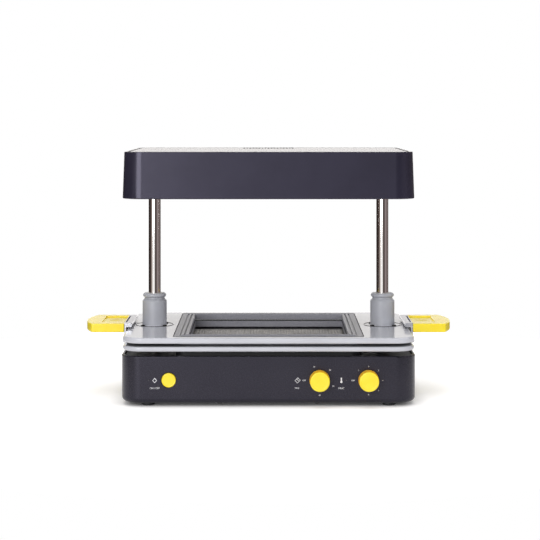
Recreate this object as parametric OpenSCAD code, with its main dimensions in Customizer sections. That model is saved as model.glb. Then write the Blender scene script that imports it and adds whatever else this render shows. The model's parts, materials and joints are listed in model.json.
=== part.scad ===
// Desktop vacuum forming machine.
// A base holds the perforated forming bed and the controls, two steel columns carry the heater head,
// and a clamping frame of two trays slides on the columns between the bed and the heater.
// Millimetres, +Z up, front faces -Y, origin on the table under the middle of the base.

/* [Base] */
// How far the base stands out past the trays all round
base_margin = 1; // [0.5:0.1:3]
// Room between the floor plate and the hose port, which sets the height of the base
port_clear = 4.4; // [2:0.1:8]
// Wall of the base housing
base_wall = 3; // [2:0.25:3.5]
// Corner radius of the base, trays and head in plan
plan_r = 25; // [25:1:30]
// Height of the rubber feet
foot_h = 4; // [3:0.25:6]
// Diameter of the rubber feet
foot_d = 16; // [14:0.5:18]

/* [Forming bed] */
// Side of the perforated forming bed
bed_w = 204; // [190:2:230]
// Thickness of the forming bed
bed_t = 2; // [1.5:0.1:3]
// Distance between the bed's air holes
bed_pitch = 8; // [8:1:12]
// Diameter of the bed's air holes
bed_hole_d = 3; // [2:0.1:4]

/* [Columns] */
// Outer diameter of the columns
column_d = 15.6; // [14:0.1:16]
// Wall of the column tubes
column_wall = 1.5; // [1:0.1:2]

/* [Trays] */
// Width of both trays' front and rear bars beside the gaskets
tray_end = 12; // [10:0.5:16]
// Gap between the base rim and the lower tray
tray_lift = 5.4; // [5:0.1:8]
// Thickness of the lower tray
lower_t = 6.1; // [6:0.1:8]
// Gap between the two trays when they are latched
tray_gap = 3.6; // [3.4:0.1:5]
// Thickness of the upper tray
upper_t = 7.4; // [7:0.1:9]
// How far both rubber gaskets reach out past the forming bed
gasket_out = 15; // [13.5:0.5:18]
// Width of a gasket's frame
gasket_band = 17.5; // [17:0.1:18]

/* [Collars] */
// Diameter of the sliding collars
collar_d = 31.3; // [30:0.1:33]
// Height of a collar's straight body above the upper tray
collar_h = 31.4; // [28:0.1:33]
// Diameter of the foot that carries a collar
collar_foot_d = 48.4; // [46:0.1:50]
// Tray between a collar's foot and the gasket
collar_in = 6.8; // [5:0.1:10]
// Tray between a collar's foot and the tray's side
collar_side = 7.8; // [6:0.1:12]

/* [Handles] */
// Reach of the handle grips from the latch plates
grip_reach = 51; // [44:1:56]
// Depth of the handle grips from front to back
grip_d = 94; // [90:1:98]
// Thickness of the handle grips
grip_t = 11; // [9:0.1:12]
// Length of the latch arms
latch_len = 88; // [84:1:90]

/* [Heater head] */
// Clear height between the upper tray and the head
head_clear = 169.6; // [165:0.1:190]
// How far the head stands out past the trays' sides
head_side = 0.2; // [0:0.1:3]
// How far the head stands out past the trays' front and rear
head_end = 1; // [0:0.1:3]
// Height of the head
head_h = 57.7; // [56:0.1:64]
// Wall of the head shell
head_wall = 2.5; // [2:0.1:3]
// Side draft of the head shell over its height
head_draft = 2; // [0.5:0.1:3]
// Number of vent holes in a row
vent_cols = 17; // [9:1:21]
// Number of vent rows
vent_rows = 7; // [3:1:9]

/* [Controls] */
// Depth of the controls below the base's top
control_drop = 28.8; // [26:0.1:30]
// Diameter of the start button
button_d = 17.4; // [16:0.1:19]
// Travel of the start button
button_travel = 2.5; // [1.5:0.1:3]
// Diameter of the two knobs
knob_d = 25; // [22:0.5:28]
// How far the knobs stand out of the front
knob_h = 15; // [13:0.5:18]
// Distance of the start button from the base's left side
button_inset = 59.1; // [56:0.1:64]
// Distance of the heater knob from the base's right side
heater_inset = 58.8; // [56:0.1:60]
// Distance between the two knobs
knob_spacing = 59.8; // [56:0.1:64]

/* [Rear] */
// Bore of the vacuum hose port
port_bore_d = 32.2; // [30:0.1:34]
// Depth of the hose port's bore
port_depth = 27; // [24:1:30]
// How far the hose port stands out of the rear
port_out = 15; // [13:0.5:18]

/* [Hidden] */
$fn = 64;

// Clearances and the one overrun used by cuts
seat_gap = 0.3;
slip_gap = 0.05;
pin_gap = 0.1;
cut = 1;

// Plan sizes that the pieces share, worked out from the bed
gasket_w = bed_w + 2 * gasket_out;
column_x = gasket_w / 2 + collar_in + collar_foot_d / 2;
tray_w = 2 * (column_x + collar_foot_d / 2 + collar_side);
tray_d = gasket_w + 2 * tray_end;
base_w = tray_w + 2 * base_margin;
base_d = tray_d + 2 * base_margin;
head_w = tray_w + 2 * head_side;
head_d = tray_d + 2 * head_end;

// Heights that the pieces share; the base is as high as its bed, air pan, duct and hose port need
floor_t = 2;
floor_z = foot_h + base_wall;
floor_top = floor_z + floor_t;
port_wall = 2.5;
port_r = port_bore_d / 2 + port_wall;
duct_d = 24;
duct_wall = 2;
duct_z = floor_top + port_clear + port_r;
pan_depth = 16.5;
pan_z = duct_z + duct_d / 2 + duct_wall;
bed_z = pan_z + pan_depth;
bed_top = bed_z + bed_t;
bed_rise = 3.2;
base_top = bed_top - bed_rise;
base_h = base_top - foot_h;
lower_z = base_top + tray_lift;
lower_top = lower_z + lower_t;
upper_z = lower_top + tray_gap;
upper_top = upper_z + upper_t;
head_z = upper_top + head_clear;
head_top = head_z + head_h;
column_r = column_d / 2;
front_y = -base_d / 2;
rear_y = base_d / 2;
front_in = front_y + base_wall;
rear_in = rear_y - base_wall;

// Base housing
bottom_r = 6;
rim_r = 1.2;
deck_drop = 3.3;
deck_t = 2;
ledge_w = 9;
ledge_t = 2;
flange_w = 24;
slot_cols = 9;
slot_pitch = 9;
air_slot_w = 3;
air_slot_len = 36;
air_slot_x = 62;
air_slot_y = 52;
deck_top = base_top - deck_drop;
deck_z = deck_top - deck_t;
floor_w = base_w - 2 * (bottom_r + seat_gap);
floor_d = base_d - 2 * (bottom_r + seat_gap);
floor_r = plan_r - bottom_r - seat_gap;
deck_w = base_w - 2 * (base_wall + seat_gap);
deck_d = base_d - 2 * (base_wall + seat_gap);
deck_r = plan_r - base_wall - seat_gap;

// Feet and small screws
foot_inset = 16;
foot_y = base_d / 2 - foot_inset;
foot_edge = 1;
foot_stem_d = 6;
screw_d = 3;
screw_head_d = 6;
screw_head_h = 1.8;
screw_inset = 14;
screw_half_run = 60;
screw_bore_r = screw_d / 2 + pin_gap;

// Forming bed
pan_wall = 2;
pan_floor_t = 2;
pan_flange_out = 11;
pan_flange_w = bed_w + 2 * pan_flange_out;
pan_flange_t = 1.5;
pan_r = 3;
rib_t = 1.5;
rib_count = 5;
bed_margin = 8;
bed_edge_r = 3;
seal_gap = 0.6;
seal_band = 12.4;
seal_w = bed_w + 2 * (seal_gap + seal_band);
seal_r = 14;
seal_edge_r = 2;
seal_top = lower_z - seat_gap;
seal_z = deck_top + pan_flange_t;

// Vacuum path
port_flange_d = 46;
port_flange_t = 3;
port_step_d = 20;
port_step_t = 8;
port_out_y = rear_y + port_out;
port_stop_y = port_out_y - port_depth;
port_in_y = port_stop_y - port_step_t;

// Column feet
socket_foot_d = 44;
socket_foot_t = 4;
socket_d = 26;
socket_clear = 4;
socket_h = deck_z - socket_clear - floor_top;
socket_step = 21;
socket_bore_d = 12;
socket_slot_w = 9;
socket_slot_z = 7;
socket_slot_h = 11;
socket_pcd = 35;
column_z = floor_top + socket_step;
grommet_d = 24;
grommet_t = 2;
grommet_neck = 2;

// Head
head_ledge_w = 10;
head_ledge_t = 2;
head_floor_t = 2;
head_floor_rise = 2;
head_edge = 0.8;
head_floor_z = head_z + head_floor_rise;
head_seat_z = head_floor_z + head_floor_t;
head_floor_w = head_w - 2 * (head_wall + seat_gap);
head_floor_d = head_d - 2 * (head_wall + seat_gap);
head_floor_r = plan_r - head_wall - seat_gap;
vent_pitch = 4.09;
vent_d = 2.4;
vent_back = 43;
vent_y = head_d / 2 - vent_back;
cup_foot_d = 56;
cup_foot_t = 3;
cup_d = 41;
cup_h = 21.6;
cup_bore_d = 37.4;
cup_bore_h = 9.5;
catch_bore_d = 35.2;
catch_h = 10.5;
boss_d = 26;
boss_h = 13;
cup_pcd = 49;
column_top = head_seat_z + cup_h + boss_h;
catch_wire_d = 2;
catch_ring_r = catch_bore_d / 2 - seat_gap - catch_wire_d / 2;
catch_angle = 300;
catch_z = head_seat_z + cup_bore_h + seat_gap + catch_wire_d / 2;

// Heater
window_out = 4;
window_w = bed_w + 2 * window_out;
reflector_out = 3;
reflector_w = window_w + 2 * reflector_out;
reflector_t = 1.2;
reflector_h = 27;
reflector_lip = 5;
blanket_t = 8;
element_gap = 5;
element_side = 5.5;
element_end = 8;
element_cols = 2;
element_rows = 3;
element_w = (window_w - 2 * element_side - (element_cols - 1) * element_gap) / element_cols;
element_d = (window_w - 2 * element_end - (element_rows - 1) * element_gap) / element_rows;
element_t = 9;
element_stem_d = 12;
element_dish_r = 60;
element_dish = 4;
element_drop = 7;
guard_t = 1.2;
guard_bar = 1.6;
guard_cells = 9;
guard_out = 2;
guard_w = window_w + 2 * guard_out;
reflector_top = head_seat_z + reflector_h;
blanket_top = reflector_top + blanket_t;

// Harness
cable_d = 7;
cable_bend = 8;
cable_low = 12;
cable_run = 36;
cable_x_end = column_x - cable_run;
cable_low_z = floor_top + cable_low;
cable_high_z = column_top + cable_bend;

// Trays and gaskets
tray_edge_r = 2.6;
gasket_seat = 3.4;
gasket_seam = 0.6;
gasket_corner_r = 4;
gasket_rise = 1;
upper_lip_drop = 3.3;
lower_lip_drop = 1.5;
lower_lip_rise = 3.9;
strip_w = 7;
groove_w = 2.2;
groove_depth = 1.2;
ridge_w = 3.3;
lip_w = 3.5;
window_gap = 0.3;
tray_window = gasket_w - 2 * (gasket_band - lip_w - groove_w);

// Collars
collar_pcd = 40;
collar_screw_d = 4;
collar_head_d = 5.6;
collar_head_h = 2;
shoulder_h = 2.5;
shoulder_in = 2.4;
neck_d = 25.8;
neck_h = 1.9;
rim_d = 29.9;
rim_h = 5.6;
bush_wall = 2.1;
bush_len = 12;
collar_ring = 0.8;
tray_hole_gap = 0.6;
collar_top = upper_top + collar_h + shoulder_h + neck_h + rim_h;

// Latches and hinges
latch_gap = 1.2;
plate_t = 2.8;
barrel_r = 2.6;
hinge_pin_d = 2.4;
hinge_out = barrel_r + seat_gap;
hinge_x = tray_w / 2 + hinge_out;
hinge_z = lower_z + lower_t / 2;
mid_lug = 27.4;
end_lug = 5;
lug_root = 6;
plate_x = tray_w / 2 + latch_gap;
grip_x = plate_x + plate_t;
arm_rise = 1.9;
arm_t = 5.3;
arm_reach = 7.7;
arm_z = upper_top + arm_rise;
arm_top = arm_z + arm_t;
slot_w = 1.8;
slot_len = 64;
slot_depth = 3.5;

// Grips
grip_corner_r = 14;
grip_end_r = 115;
grip_drop = 0.2;
grip_top = arm_top - grip_drop;
grip_edge_r = 1.1;
grip_edge_steps = 3;
recess_len = 29.5;
recess_d = 64;
recess_depth = 1.8;
dimple_x = 15;
dimple_r = 9;
dimple_depth = 1;
dimple_ball = (dimple_r * dimple_r + dimple_depth * dimple_depth) / (2 * dimple_depth);
grip_fn = 48;
grip_screw_y = 25;
grip_screw_drop = 7.8;
grip_screw_len = 12;
grip_head_h = 1.2;

// Controls
control_z = base_top - control_drop;
button_x = button_inset - base_w / 2;
heater_x = base_w / 2 - heater_inset;
timer_x = heater_x - knob_spacing;
button_gap = 0.6;
button_out = 1.5;
button_len = 10.5;
button_edge = 1;
button_stem_d = 6;
button_stem_len = 15;
spring_wire_d = 1.1;
spring_turns = 5;
spring_r = 4.6;
spring_spare = 0.4;
spring_solid = spring_wire_d * (spring_turns + 1);
switch_wall = 2.4;
switch_depth = button_len - button_out - base_wall + spring_solid + button_travel + spring_spare;
switch_tail = 12;
switch_len = switch_depth + switch_tail;
knob_gap = 0.6;
knob_edge = 1.3;
knob_draft = 0.5;
knob_skirt_wall = 2.5;
knob_skirt_depth = 5;
knob_face_depth = 0.35;
knob_face_inset = 2.4;
shaft_d = 6;
shaft_cap = 3;
thread_d = 9;
thread_out = 1.8;
unit_w = 32;
unit_h = 28;
unit_depth = 24;
unit_back = 6;
unit_back_d = 22;
regulator_d = 32;
shaft_in = 16;
led_d = 1.6;
led_body_d = 4;
led_body_len = 6;
led_out = 0.2;
left_led_gap = 24.5;
right_led_gap = 27.1;
left_led_x = button_x - left_led_gap;
right_led_x = heater_x - right_led_gap;

// Rear fittings
rear_gap = 12;
switch_gap = 14;
inlet_w = 50;
inlet_x = -(port_flange_d / 2 + rear_gap + inlet_w / 2);
outlet_x = -inlet_x;
inlet_h = 24;
inlet_flange_t = 3;
inlet_body_w = 30;
inlet_body_h = 22;
inlet_body_len = 22;
inlet_mouth_w = 24.6;
inlet_mouth_h = 16.6;
inlet_mouth_depth = 18;
inlet_corner = 5;
blade_w = 4;
blade_t = 2;
blade_len = 13;
blade_pitch = 7;
blade_rise = 2;
outlet_slot_depth = 12;
bezel_w = 22;
switch_x = inlet_x - inlet_w / 2 - switch_gap - bezel_w / 2;
bezel_h = 30;
bezel_t = 2.5;
bezel_body_w = 19;
bezel_body_h = 27;
bezel_len = 18;
rocker_w = 14;
rocker_h = 21;
rocker_r = 16;
rocker_out = 2.4;
rocker_pin_d = 3;
rocker_tilt = 8;
rocker_depth = 9;

// Electrics in the base
board_side = 78;
board_x = board_side - column_x;
board_y = -20;
board_w = 80;
board_d = 70;
board_t = 1.6;
standoff_h = 6;
standoff_d = 6;
standoff_inset = 5;
block_w = 12;
block_d = 14;
block_h = 12;
relay_w = 16;
relay_d = 20;
relay_h = 15;
relay_shift = 12;
trafo_side = 86;
trafo_x = column_x - trafo_side;
trafo_y = -30;
trafo_w = 46;
trafo_d = 38;
trafo_clear = 5;
trafo_h = pan_z - trafo_clear - floor_top;
trafo_yoke = 5;
trafo_coil_w = 26;
trafo_coil_d = 52;
trafo_coil_h = trafo_h - 2 * trafo_yoke;
terminal_w = 20;
terminal_d = 30;
terminal_h = 14;
terminal_bore_d = 5;
cutout_x = 40;
cutout_d = 16;
cutout_h = 8;
cutout_lug_w = 24;
cutout_lug_t = 1.2;

// A rectangle with rounded corners
module rounded(w, d, r) {
  if (w > 2 * r) square([w - 2 * r, d], center = true);
  square([w, d - 2 * r], center = true);
  for (sx = [-1, 1], sy = [-1, 1]) translate([sx * (w / 2 - r), sy * (d / 2 - r)]) circle(r);
}

// Carries an edge profile round a rounded rectangle; the profile's x = 0 is the outer edge
module rim_sweep(w, d, r) {
  for (c = [[1, 1, 0], [-1, 1, 90], [-1, -1, 180], [1, -1, 270]])
    translate([c[0] * (w / 2 - r), c[1] * (d / 2 - r), 0])
      rotate(c[2]) rotate_extrude(angle = 90) translate([r, 0]) children();
  for (a = [0, 180])
    rotate(a) translate([w / 2, d / 2 - r, 0]) rotate([90, 0, 0]) linear_extrude(d - 2 * r) children();
  for (a = [90, 270])
    rotate(a) translate([d / 2, w / 2 - r, 0]) rotate([90, 0, 0]) linear_extrude(w - 2 * r) children();
}

// Carries a profile round a square with mitred corners; the profile's x = 0 is the middle
module mitre_ring(half, low, high) {
  for (a = [0, 90, 180, 270]) rotate(a) intersection() {
    translate([0, half, 0]) rotate([90, 0, 0]) linear_extrude(2 * half) children();
    translate([0, 0, low]) linear_extrude(high - low) polygon([[0, 0], [half, half], [half, -half]]);
  }
}

// A box with rounded edges all round its plan, standing on z
module block(w, d, r, z, h) translate([0, 0, z]) linear_extrude(h) rounded(w, d, r);

// A cylinder along Y from y0 to y1
module y_rod(r, x, z, y0, y1) translate([x, y1, z]) rotate([90, 0, 0]) cylinder(r = r, h = y1 - y0);

// A cylinder along X from x0 to x1
module x_rod(r, y, z, x0, x1) translate([x0, y, z]) rotate([0, 90, 0]) cylinder(r = r, h = x1 - x0);

// Places for a pattern of four on a circle
module four_round(pcd) for (a = [45, 135, 225, 315]) rotate(a) translate([pcd / 2, 0, 0]) children();

// Places at both columns
module both_columns() for (s = [-1, 1]) translate([s * column_x, 0, 0]) children();

// Places for the screws round a rectangular cover
module cover_screws(w, d, inset) {
  for (s = [-1, 1], t = [-1, 1]) {
    translate([s * (w / 2 - inset), t * screw_half_run, 0]) children();
    translate([s * screw_half_run, t * (d / 2 - inset), 0]) children();
  }
}

// Profile of the housing wall, with its turned-in bottom, rim and deck ledge
module base_profile() {
  translate([-base_wall, foot_h + bottom_r]) square([base_wall, base_h - bottom_r - rim_r]);
  translate([-base_wall, base_top - rim_r]) square([base_wall - rim_r, rim_r]);
  translate([-rim_r, base_top - rim_r]) circle(rim_r);
  translate([-bottom_r, foot_h + bottom_r]) intersection() {
    difference() {
      circle(bottom_r);
      circle(bottom_r - base_wall);
    }
    translate([0, -bottom_r]) square(bottom_r);
  }
  translate([-flange_w, foot_h]) square([flange_w - bottom_r, base_wall]);
  translate([-ledge_w, deck_z - ledge_t]) square([ledge_w - base_wall / 2, ledge_t]);
}

module base_shell() {
  color("#413f45") difference() {
    rim_sweep(base_w, base_d, plan_r) base_profile();
    for (s = [-1, 1], t = [-1, 1])
      translate([s * column_x, t * foot_y, foot_h - cut])
        cylinder(d = foot_stem_d + 2 * pin_gap, h = base_wall + 2 * cut);
    cover_screws(base_w, base_d, screw_inset) translate([0, 0, foot_h - cut])
      cylinder(r = screw_bore_r, h = base_wall + 2 * cut);
    y_rod(button_d / 2 + button_gap, button_x, control_z, front_y - cut, front_in + cut);
    for (x = [timer_x, heater_x])
      y_rod(thread_d / 2 + pin_gap, x, control_z, front_y - cut, front_in + cut);
    for (x = [left_led_x, right_led_x])
      y_rod(led_d / 2 + slip_gap, x, control_z, front_y - cut, front_in + cut);
    y_rod(port_r + pin_gap, 0, duct_z, rear_in - cut, rear_y + cut);
    for (x = [inlet_x, outlet_x]) translate([x, rear_y, control_z])
      cube([inlet_body_w + 2 * pin_gap, 2 * base_wall + 2 * cut, inlet_body_h + 2 * pin_gap], center = true);
    translate([switch_x, rear_y, control_z])
      cube([bezel_body_w + 2 * pin_gap, 2 * base_wall + 2 * cut, bezel_body_h + 2 * pin_gap], center = true);
  }
}

// Two rows of rounded air slots under the electrics
module air_slots() {
  for (s = [-1, 1], i = [0 : slot_cols - 1])
    translate([s * air_slot_x + (i - (slot_cols - 1) / 2) * slot_pitch, air_slot_y, floor_z - cut])
      linear_extrude(floor_t + 2 * cut) rounded(air_slot_w, air_slot_len, air_slot_w / 2);
}

module base_floor() {
  color("#5a5a60") difference() {
    block(floor_w, floor_d, floor_r, floor_z, floor_t);
    air_slots();
    for (s = [-1, 1], t = [-1, 1])
      translate([s * column_x, t * foot_y, floor_z - cut])
        cylinder(d = foot_stem_d + 2 * pin_gap, h = floor_t + 2 * cut);
    cover_screws(base_w, base_d, screw_inset) translate([0, 0, floor_z - cut])
      cylinder(r = screw_bore_r, h = floor_t + 2 * cut);
    both_columns() four_round(socket_pcd) translate([0, 0, floor_z - cut])
      cylinder(r = screw_bore_r, h = floor_t + 2 * cut);
  }
}

module rubber_feet() {
  color("#1c1c1e") for (s = [-1, 1], t = [-1, 1]) translate([s * column_x, t * foot_y, 0]) {
    cylinder(d1 = foot_d - 2 * foot_edge, d2 = foot_d, h = foot_edge);
    translate([0, 0, foot_edge]) cylinder(d = foot_d, h = foot_h - foot_edge);
    cylinder(d = foot_stem_d, h = floor_top);
  }
}

// A pan head screw with its head's face at z = 0 and its shank rising
module cover_screw(shank) {
  translate([0, 0, -screw_head_h]) cylinder(d = screw_head_d, h = screw_head_h);
  cylinder(d = screw_d, h = shank);
}

module base_screws() {
  color("#b8b8bc") {
    cover_screws(base_w, base_d, screw_inset) translate([0, 0, foot_h]) cover_screw(floor_top - foot_h);
    both_columns() four_round(socket_pcd) translate([0, 0, floor_top + socket_foot_t])
      mirror([0, 0, 1]) cover_screw(socket_foot_t + floor_t);
  }
}

module deck_plate() {
  color("#2a2a2e") difference() {
    block(deck_w, deck_d, deck_r, deck_z, deck_t);
    block(bed_w + 2 * seat_gap, bed_w + 2 * seat_gap, bed_edge_r, deck_z - cut, deck_t + 2 * cut);
    both_columns() translate([0, 0, deck_z - cut])
      cylinder(d = grommet_d - 2 * grommet_neck + 2 * pin_gap, h = deck_t + 2 * cut);
  }
}

module column_grommets() {
  color("#1c1c1e") both_columns() difference() {
    union() {
      translate([0, 0, deck_top]) cylinder(d = grommet_d, h = grommet_t);
      translate([0, 0, deck_z]) cylinder(d = grommet_d - 2 * grommet_neck, h = deck_t + grommet_t);
    }
    translate([0, 0, deck_z - cut]) cylinder(r = column_r + pin_gap, h = deck_t + grommet_t + 2 * cut);
  }
}

module bed_pan() {
  rib_pitch = (bed_w - 2 * pan_wall) / (rib_count + 1);
  rib_span = bed_w - pan_wall;
  rib_z = pan_z + pan_floor_t / 2;
  color("#8f8f94") difference() {
    union() {
      difference() {
        block(bed_w, bed_w, bed_edge_r, pan_z, bed_z - pan_z);
        translate([0, 0, pan_z + pan_floor_t]) linear_extrude(pan_depth)
          square(bed_w - 2 * pan_wall, center = true);
      }
      difference() {
        block(pan_flange_w, pan_flange_w, pan_r, deck_top, pan_flange_t);
        block(bed_w - pan_wall, bed_w - pan_wall, bed_edge_r, deck_top - cut, pan_flange_t + 2 * cut);
      }
      for (i = [1 : rib_count]) {
        p = -bed_w / 2 + pan_wall + i * rib_pitch;
        translate([p - rib_t / 2, -rib_span / 2, rib_z]) cube([rib_t, rib_span, bed_z - rib_z]);
        translate([-rib_span / 2, p - rib_t / 2, rib_z]) cube([rib_span, rib_t, bed_z - rib_z]);
      }
    }
    translate([0, 0, pan_z - cut]) cylinder(d = duct_d + 2 * pin_gap, h = pan_depth / 2 + cut);
  }
}

module bed_plate() {
  holes = floor((bed_w - 2 * bed_margin) / bed_pitch);
  color("#b3aca2") translate([0, 0, bed_z]) linear_extrude(bed_t) difference() {
    rounded(bed_w, bed_w, bed_edge_r);
    for (i = [0 : holes], j = [0 : holes])
      translate([(i - holes / 2) * bed_pitch, (j - holes / 2) * bed_pitch]) circle(d = bed_hole_d, $fn = 24);
  }
}

module bed_seal() {
  color("#2f2f33") rim_sweep(seal_w, seal_w, seal_r) {
    translate([-seal_band, seal_z]) square([seal_band, seal_top - seal_z - seal_edge_r]);
    translate([seal_edge_r - seal_band, seal_z]) square([seal_band - 2 * seal_edge_r, seal_top - seal_z]);
    for (x = [-seal_edge_r, seal_edge_r - seal_band])
      translate([x, seal_top - seal_edge_r]) circle(seal_edge_r);
  }
}

module vacuum_duct() {
  color("#3a3a3e") difference() {
    union() {
      translate([0, 0, duct_z]) cylinder(d = duct_d, h = pan_z + pan_floor_t - duct_z);
      translate([0, 0, duct_z]) sphere(d = duct_d);
      y_rod(duct_d / 2, 0, duct_z, 0, port_in_y);
    }
    translate([0, 0, duct_z]) cylinder(d = duct_d - 2 * duct_wall, h = pan_z + pan_floor_t - duct_z + cut);
    translate([0, 0, duct_z]) sphere(d = duct_d - 2 * duct_wall);
    y_rod(duct_d / 2 - duct_wall, 0, duct_z, 0, port_in_y + cut);
  }
}

module hose_port() {
  color("#2a2a2e") difference() {
    union() {
      y_rod(port_r, 0, duct_z, port_in_y, port_out_y);
      y_rod(port_flange_d / 2, 0, duct_z, rear_y, rear_y + port_flange_t);
    }
    y_rod(port_bore_d / 2, 0, duct_z, port_stop_y, port_out_y + cut);
    y_rod(port_step_d / 2, 0, duct_z, port_in_y - cut, port_stop_y + cut);
  }
}

// A rear connector's flange and body, its outer face towards +Y
module connector_body(x) {
  translate([x, rear_y + inlet_flange_t, control_z]) rotate([90, 0, 0]) linear_extrude(inlet_flange_t)
    rounded(inlet_w, inlet_h, inlet_corner);
  translate([x - inlet_body_w / 2, rear_y - inlet_body_len, control_z - inlet_body_h / 2])
    cube([inlet_body_w, inlet_body_len + inlet_flange_t / 2, inlet_body_h]);
}

// Outline of the mouth, with its two cut corners
module mouth_outline() {
  w = inlet_mouth_w / 2;
  h = inlet_mouth_h / 2;
  polygon([
    [-w, -h], [w, -h], [w, h - inlet_corner],
    [w - inlet_corner, h], [inlet_corner - w, h], [-w, h - inlet_corner]
  ]);
}

// The three contact places of a rear connector
module contact_places(x) {
  translate([x, 0, control_z + blade_rise]) children();
  for (s = [-1, 1]) translate([x + s * blade_pitch, 0, control_z - blade_rise]) children();
}

module power_inlet() {
  mouth_y = rear_y + inlet_flange_t;
  color("#1f1f22") difference() {
    connector_body(inlet_x);
    translate([inlet_x, mouth_y + cut, control_z]) rotate([90, 0, 0])
      linear_extrude(inlet_mouth_depth + cut) mouth_outline();
  }
}

module inlet_pins() {
  base_y = rear_y + inlet_flange_t - inlet_mouth_depth;
  color("#c9c9cc") contact_places(inlet_x)
    translate([-blade_t / 2, base_y, -blade_w / 2]) cube([blade_t, blade_len, blade_w]);
}

module vacuum_outlet() {
  color("#1f1f22") difference() {
    connector_body(outlet_x);
    contact_places(outlet_x) translate([0, rear_y + inlet_flange_t - outlet_slot_depth / 2 + cut / 2, 0])
      cube([blade_t + 2 * pin_gap, outlet_slot_depth + cut, blade_w + 2 * pin_gap], center = true);
  }
}

module switch_bezel() {
  well_w = rocker_w + 2 * seat_gap;
  well_h = rocker_h + 2 * seat_gap + rocker_pin_d;
  well_y = rear_y - rocker_depth - rocker_pin_d;
  pin_half = bezel_body_w / 2 - cut;
  color("#1f1f22") difference() {
    union() {
      translate([switch_x - bezel_w / 2, rear_y, control_z - bezel_h / 2]) cube([bezel_w, bezel_t, bezel_h]);
      translate([switch_x - bezel_body_w / 2, rear_y - bezel_len, control_z - bezel_body_h / 2])
        cube([bezel_body_w, bezel_len + bezel_t / 2, bezel_body_h]);
    }
    translate([switch_x - well_w / 2, well_y, control_z - well_h / 2])
      cube([well_w, rear_y - well_y + bezel_t + cut, well_h]);
    x_rod(rocker_pin_d / 2 + slip_gap, rear_y - rocker_depth / 2, control_z,
          switch_x - pin_half, switch_x + pin_half);
  }
}

// The rocker lies in its off position, tilted with its lower end pressed in
module rocker_switch() {
  axis_y = rear_y - rocker_depth / 2;
  face_y = bezel_t + rocker_out + rocker_depth / 2;
  color("#303034") translate([switch_x, axis_y, control_z]) rotate([-rocker_tilt, 0, 0]) {
    intersection() {
      x_rod(rocker_r, face_y - rocker_r, 0, -rocker_w / 2, rocker_w / 2);
      translate([-rocker_w / 2, -rocker_pin_d, -rocker_h / 2]) cube([rocker_w, rocker_r, rocker_h]);
    }
    x_rod(rocker_pin_d / 2, 0, 0, -rocker_w / 2 - cut, rocker_w / 2 + cut);
  }
}

// A threaded neck through the front panel
module panel_neck(x) y_rod(thread_d / 2, x, control_z, front_y - thread_out, front_in + cut);

module shaft_bore(x)
  y_rod(shaft_d / 2 + slip_gap, x, control_z, front_y - thread_out - cut, front_in + shaft_in + slip_gap);

module timer_unit() {
  color("#d8d6cc") difference() {
    union() {
      translate([timer_x - unit_w / 2, front_in, control_z - unit_h / 2])
        cube([unit_w, unit_depth, unit_h]);
      y_rod(unit_back_d / 2, timer_x, control_z,
            front_in + unit_depth - cut, front_in + unit_depth + unit_back);
      panel_neck(timer_x);
    }
    shaft_bore(timer_x);
  }
}

module heater_regulator() {
  color("#b9b4aa") difference() {
    union() {
      y_rod(regulator_d / 2, heater_x, control_z, front_in, front_in + unit_depth);
      y_rod(unit_back_d / 2, heater_x, control_z,
            front_in + unit_depth - cut, front_in + unit_depth + unit_back);
      panel_neck(heater_x);
    }
    shaft_bore(heater_x);
  }
}

module control_shaft(x) color("#c0c0c4")
  y_rod(shaft_d / 2, x, control_z, front_y - knob_h + shaft_cap, front_in + shaft_in);

module timer_shaft() control_shaft(timer_x);

module heater_shaft() control_shaft(heater_x);

// A turned knob with a bevelled face and a hollow skirt over the panel neck
module knob(x) {
  r = knob_d / 2;
  face = knob_h;
  face_r = r - knob_draft - knob_face_inset;
  color("#ffe135") translate([x, front_y, control_z]) rotate([90, 0, 0]) rotate_extrude() difference() {
    polygon([
      [0, knob_gap], [r, knob_gap], [r - knob_draft, face - knob_edge],
      [r - knob_draft - knob_edge, face], [face_r, face],
      [face_r - knob_face_depth, face - knob_face_depth], [0, face - knob_face_depth]
    ]);
    translate([0, knob_gap - cut]) square([r - knob_skirt_wall, knob_skirt_depth + cut]);
    square([shaft_d / 2 + slip_gap, knob_h - shaft_cap + slip_gap]);
  }
}

module timer_knob() knob(timer_x);

module heater_knob() knob(heater_x);

module start_switch() {
  r = button_d / 2 + button_gap;
  color("#e4e2da") difference() {
    y_rod(r + switch_wall, button_x, control_z, front_in, front_in + switch_len);
    y_rod(r, button_x, control_z, front_in - cut, front_in + switch_depth);
    y_rod(button_stem_d / 2 + pin_gap, button_x, control_z, front_in, front_in + switch_len - switch_wall);
  }
}

module start_button() {
  cap_y = front_y - button_out;
  color("#ffe135") translate([button_x, cap_y, control_z]) rotate([-90, 0, 0]) {
    cylinder(r1 = button_d / 2 - button_edge, r2 = button_d / 2, h = button_edge);
    translate([0, 0, button_edge]) cylinder(d = button_d, h = button_len - button_edge);
    cylinder(d = button_stem_d, h = button_len + button_stem_len);
  }
}

// A coil of round wire, swept as one tube along its helix
module coil(r, wire, height, turns) {
  sides = 6;
  steps = 12 * turns;
  rise = height - wire;
  points = [for (i = [0 : steps]) for (k = [0 : sides - 1])
    let (a = 360 * turns * i / steps, b = 360 * k / sides, q = r + wire / 2 * cos(b))
      [q * cos(a), q * sin(a), wire / 2 + rise * i / steps + wire / 2 * sin(b)]];
  walls = [for (i = [0 : steps - 1]) for (k = [0 : sides - 1])
    let (n = (k + 1) % sides)
      for (f = [0, 1]) f == 0
        ? [i * sides + k, i * sides + n, (i + 1) * sides + n]
        : [i * sides + k, (i + 1) * sides + n, (i + 1) * sides + k]];
  low_end = [for (k = [1 : sides - 2]) [0, k + 1, k]];
  high_end = [for (k = [1 : sides - 2]) [steps * sides, steps * sides + k, steps * sides + k + 1]];
  polyhedron(points = points, faces = concat(walls, low_end, high_end));
}

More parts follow.
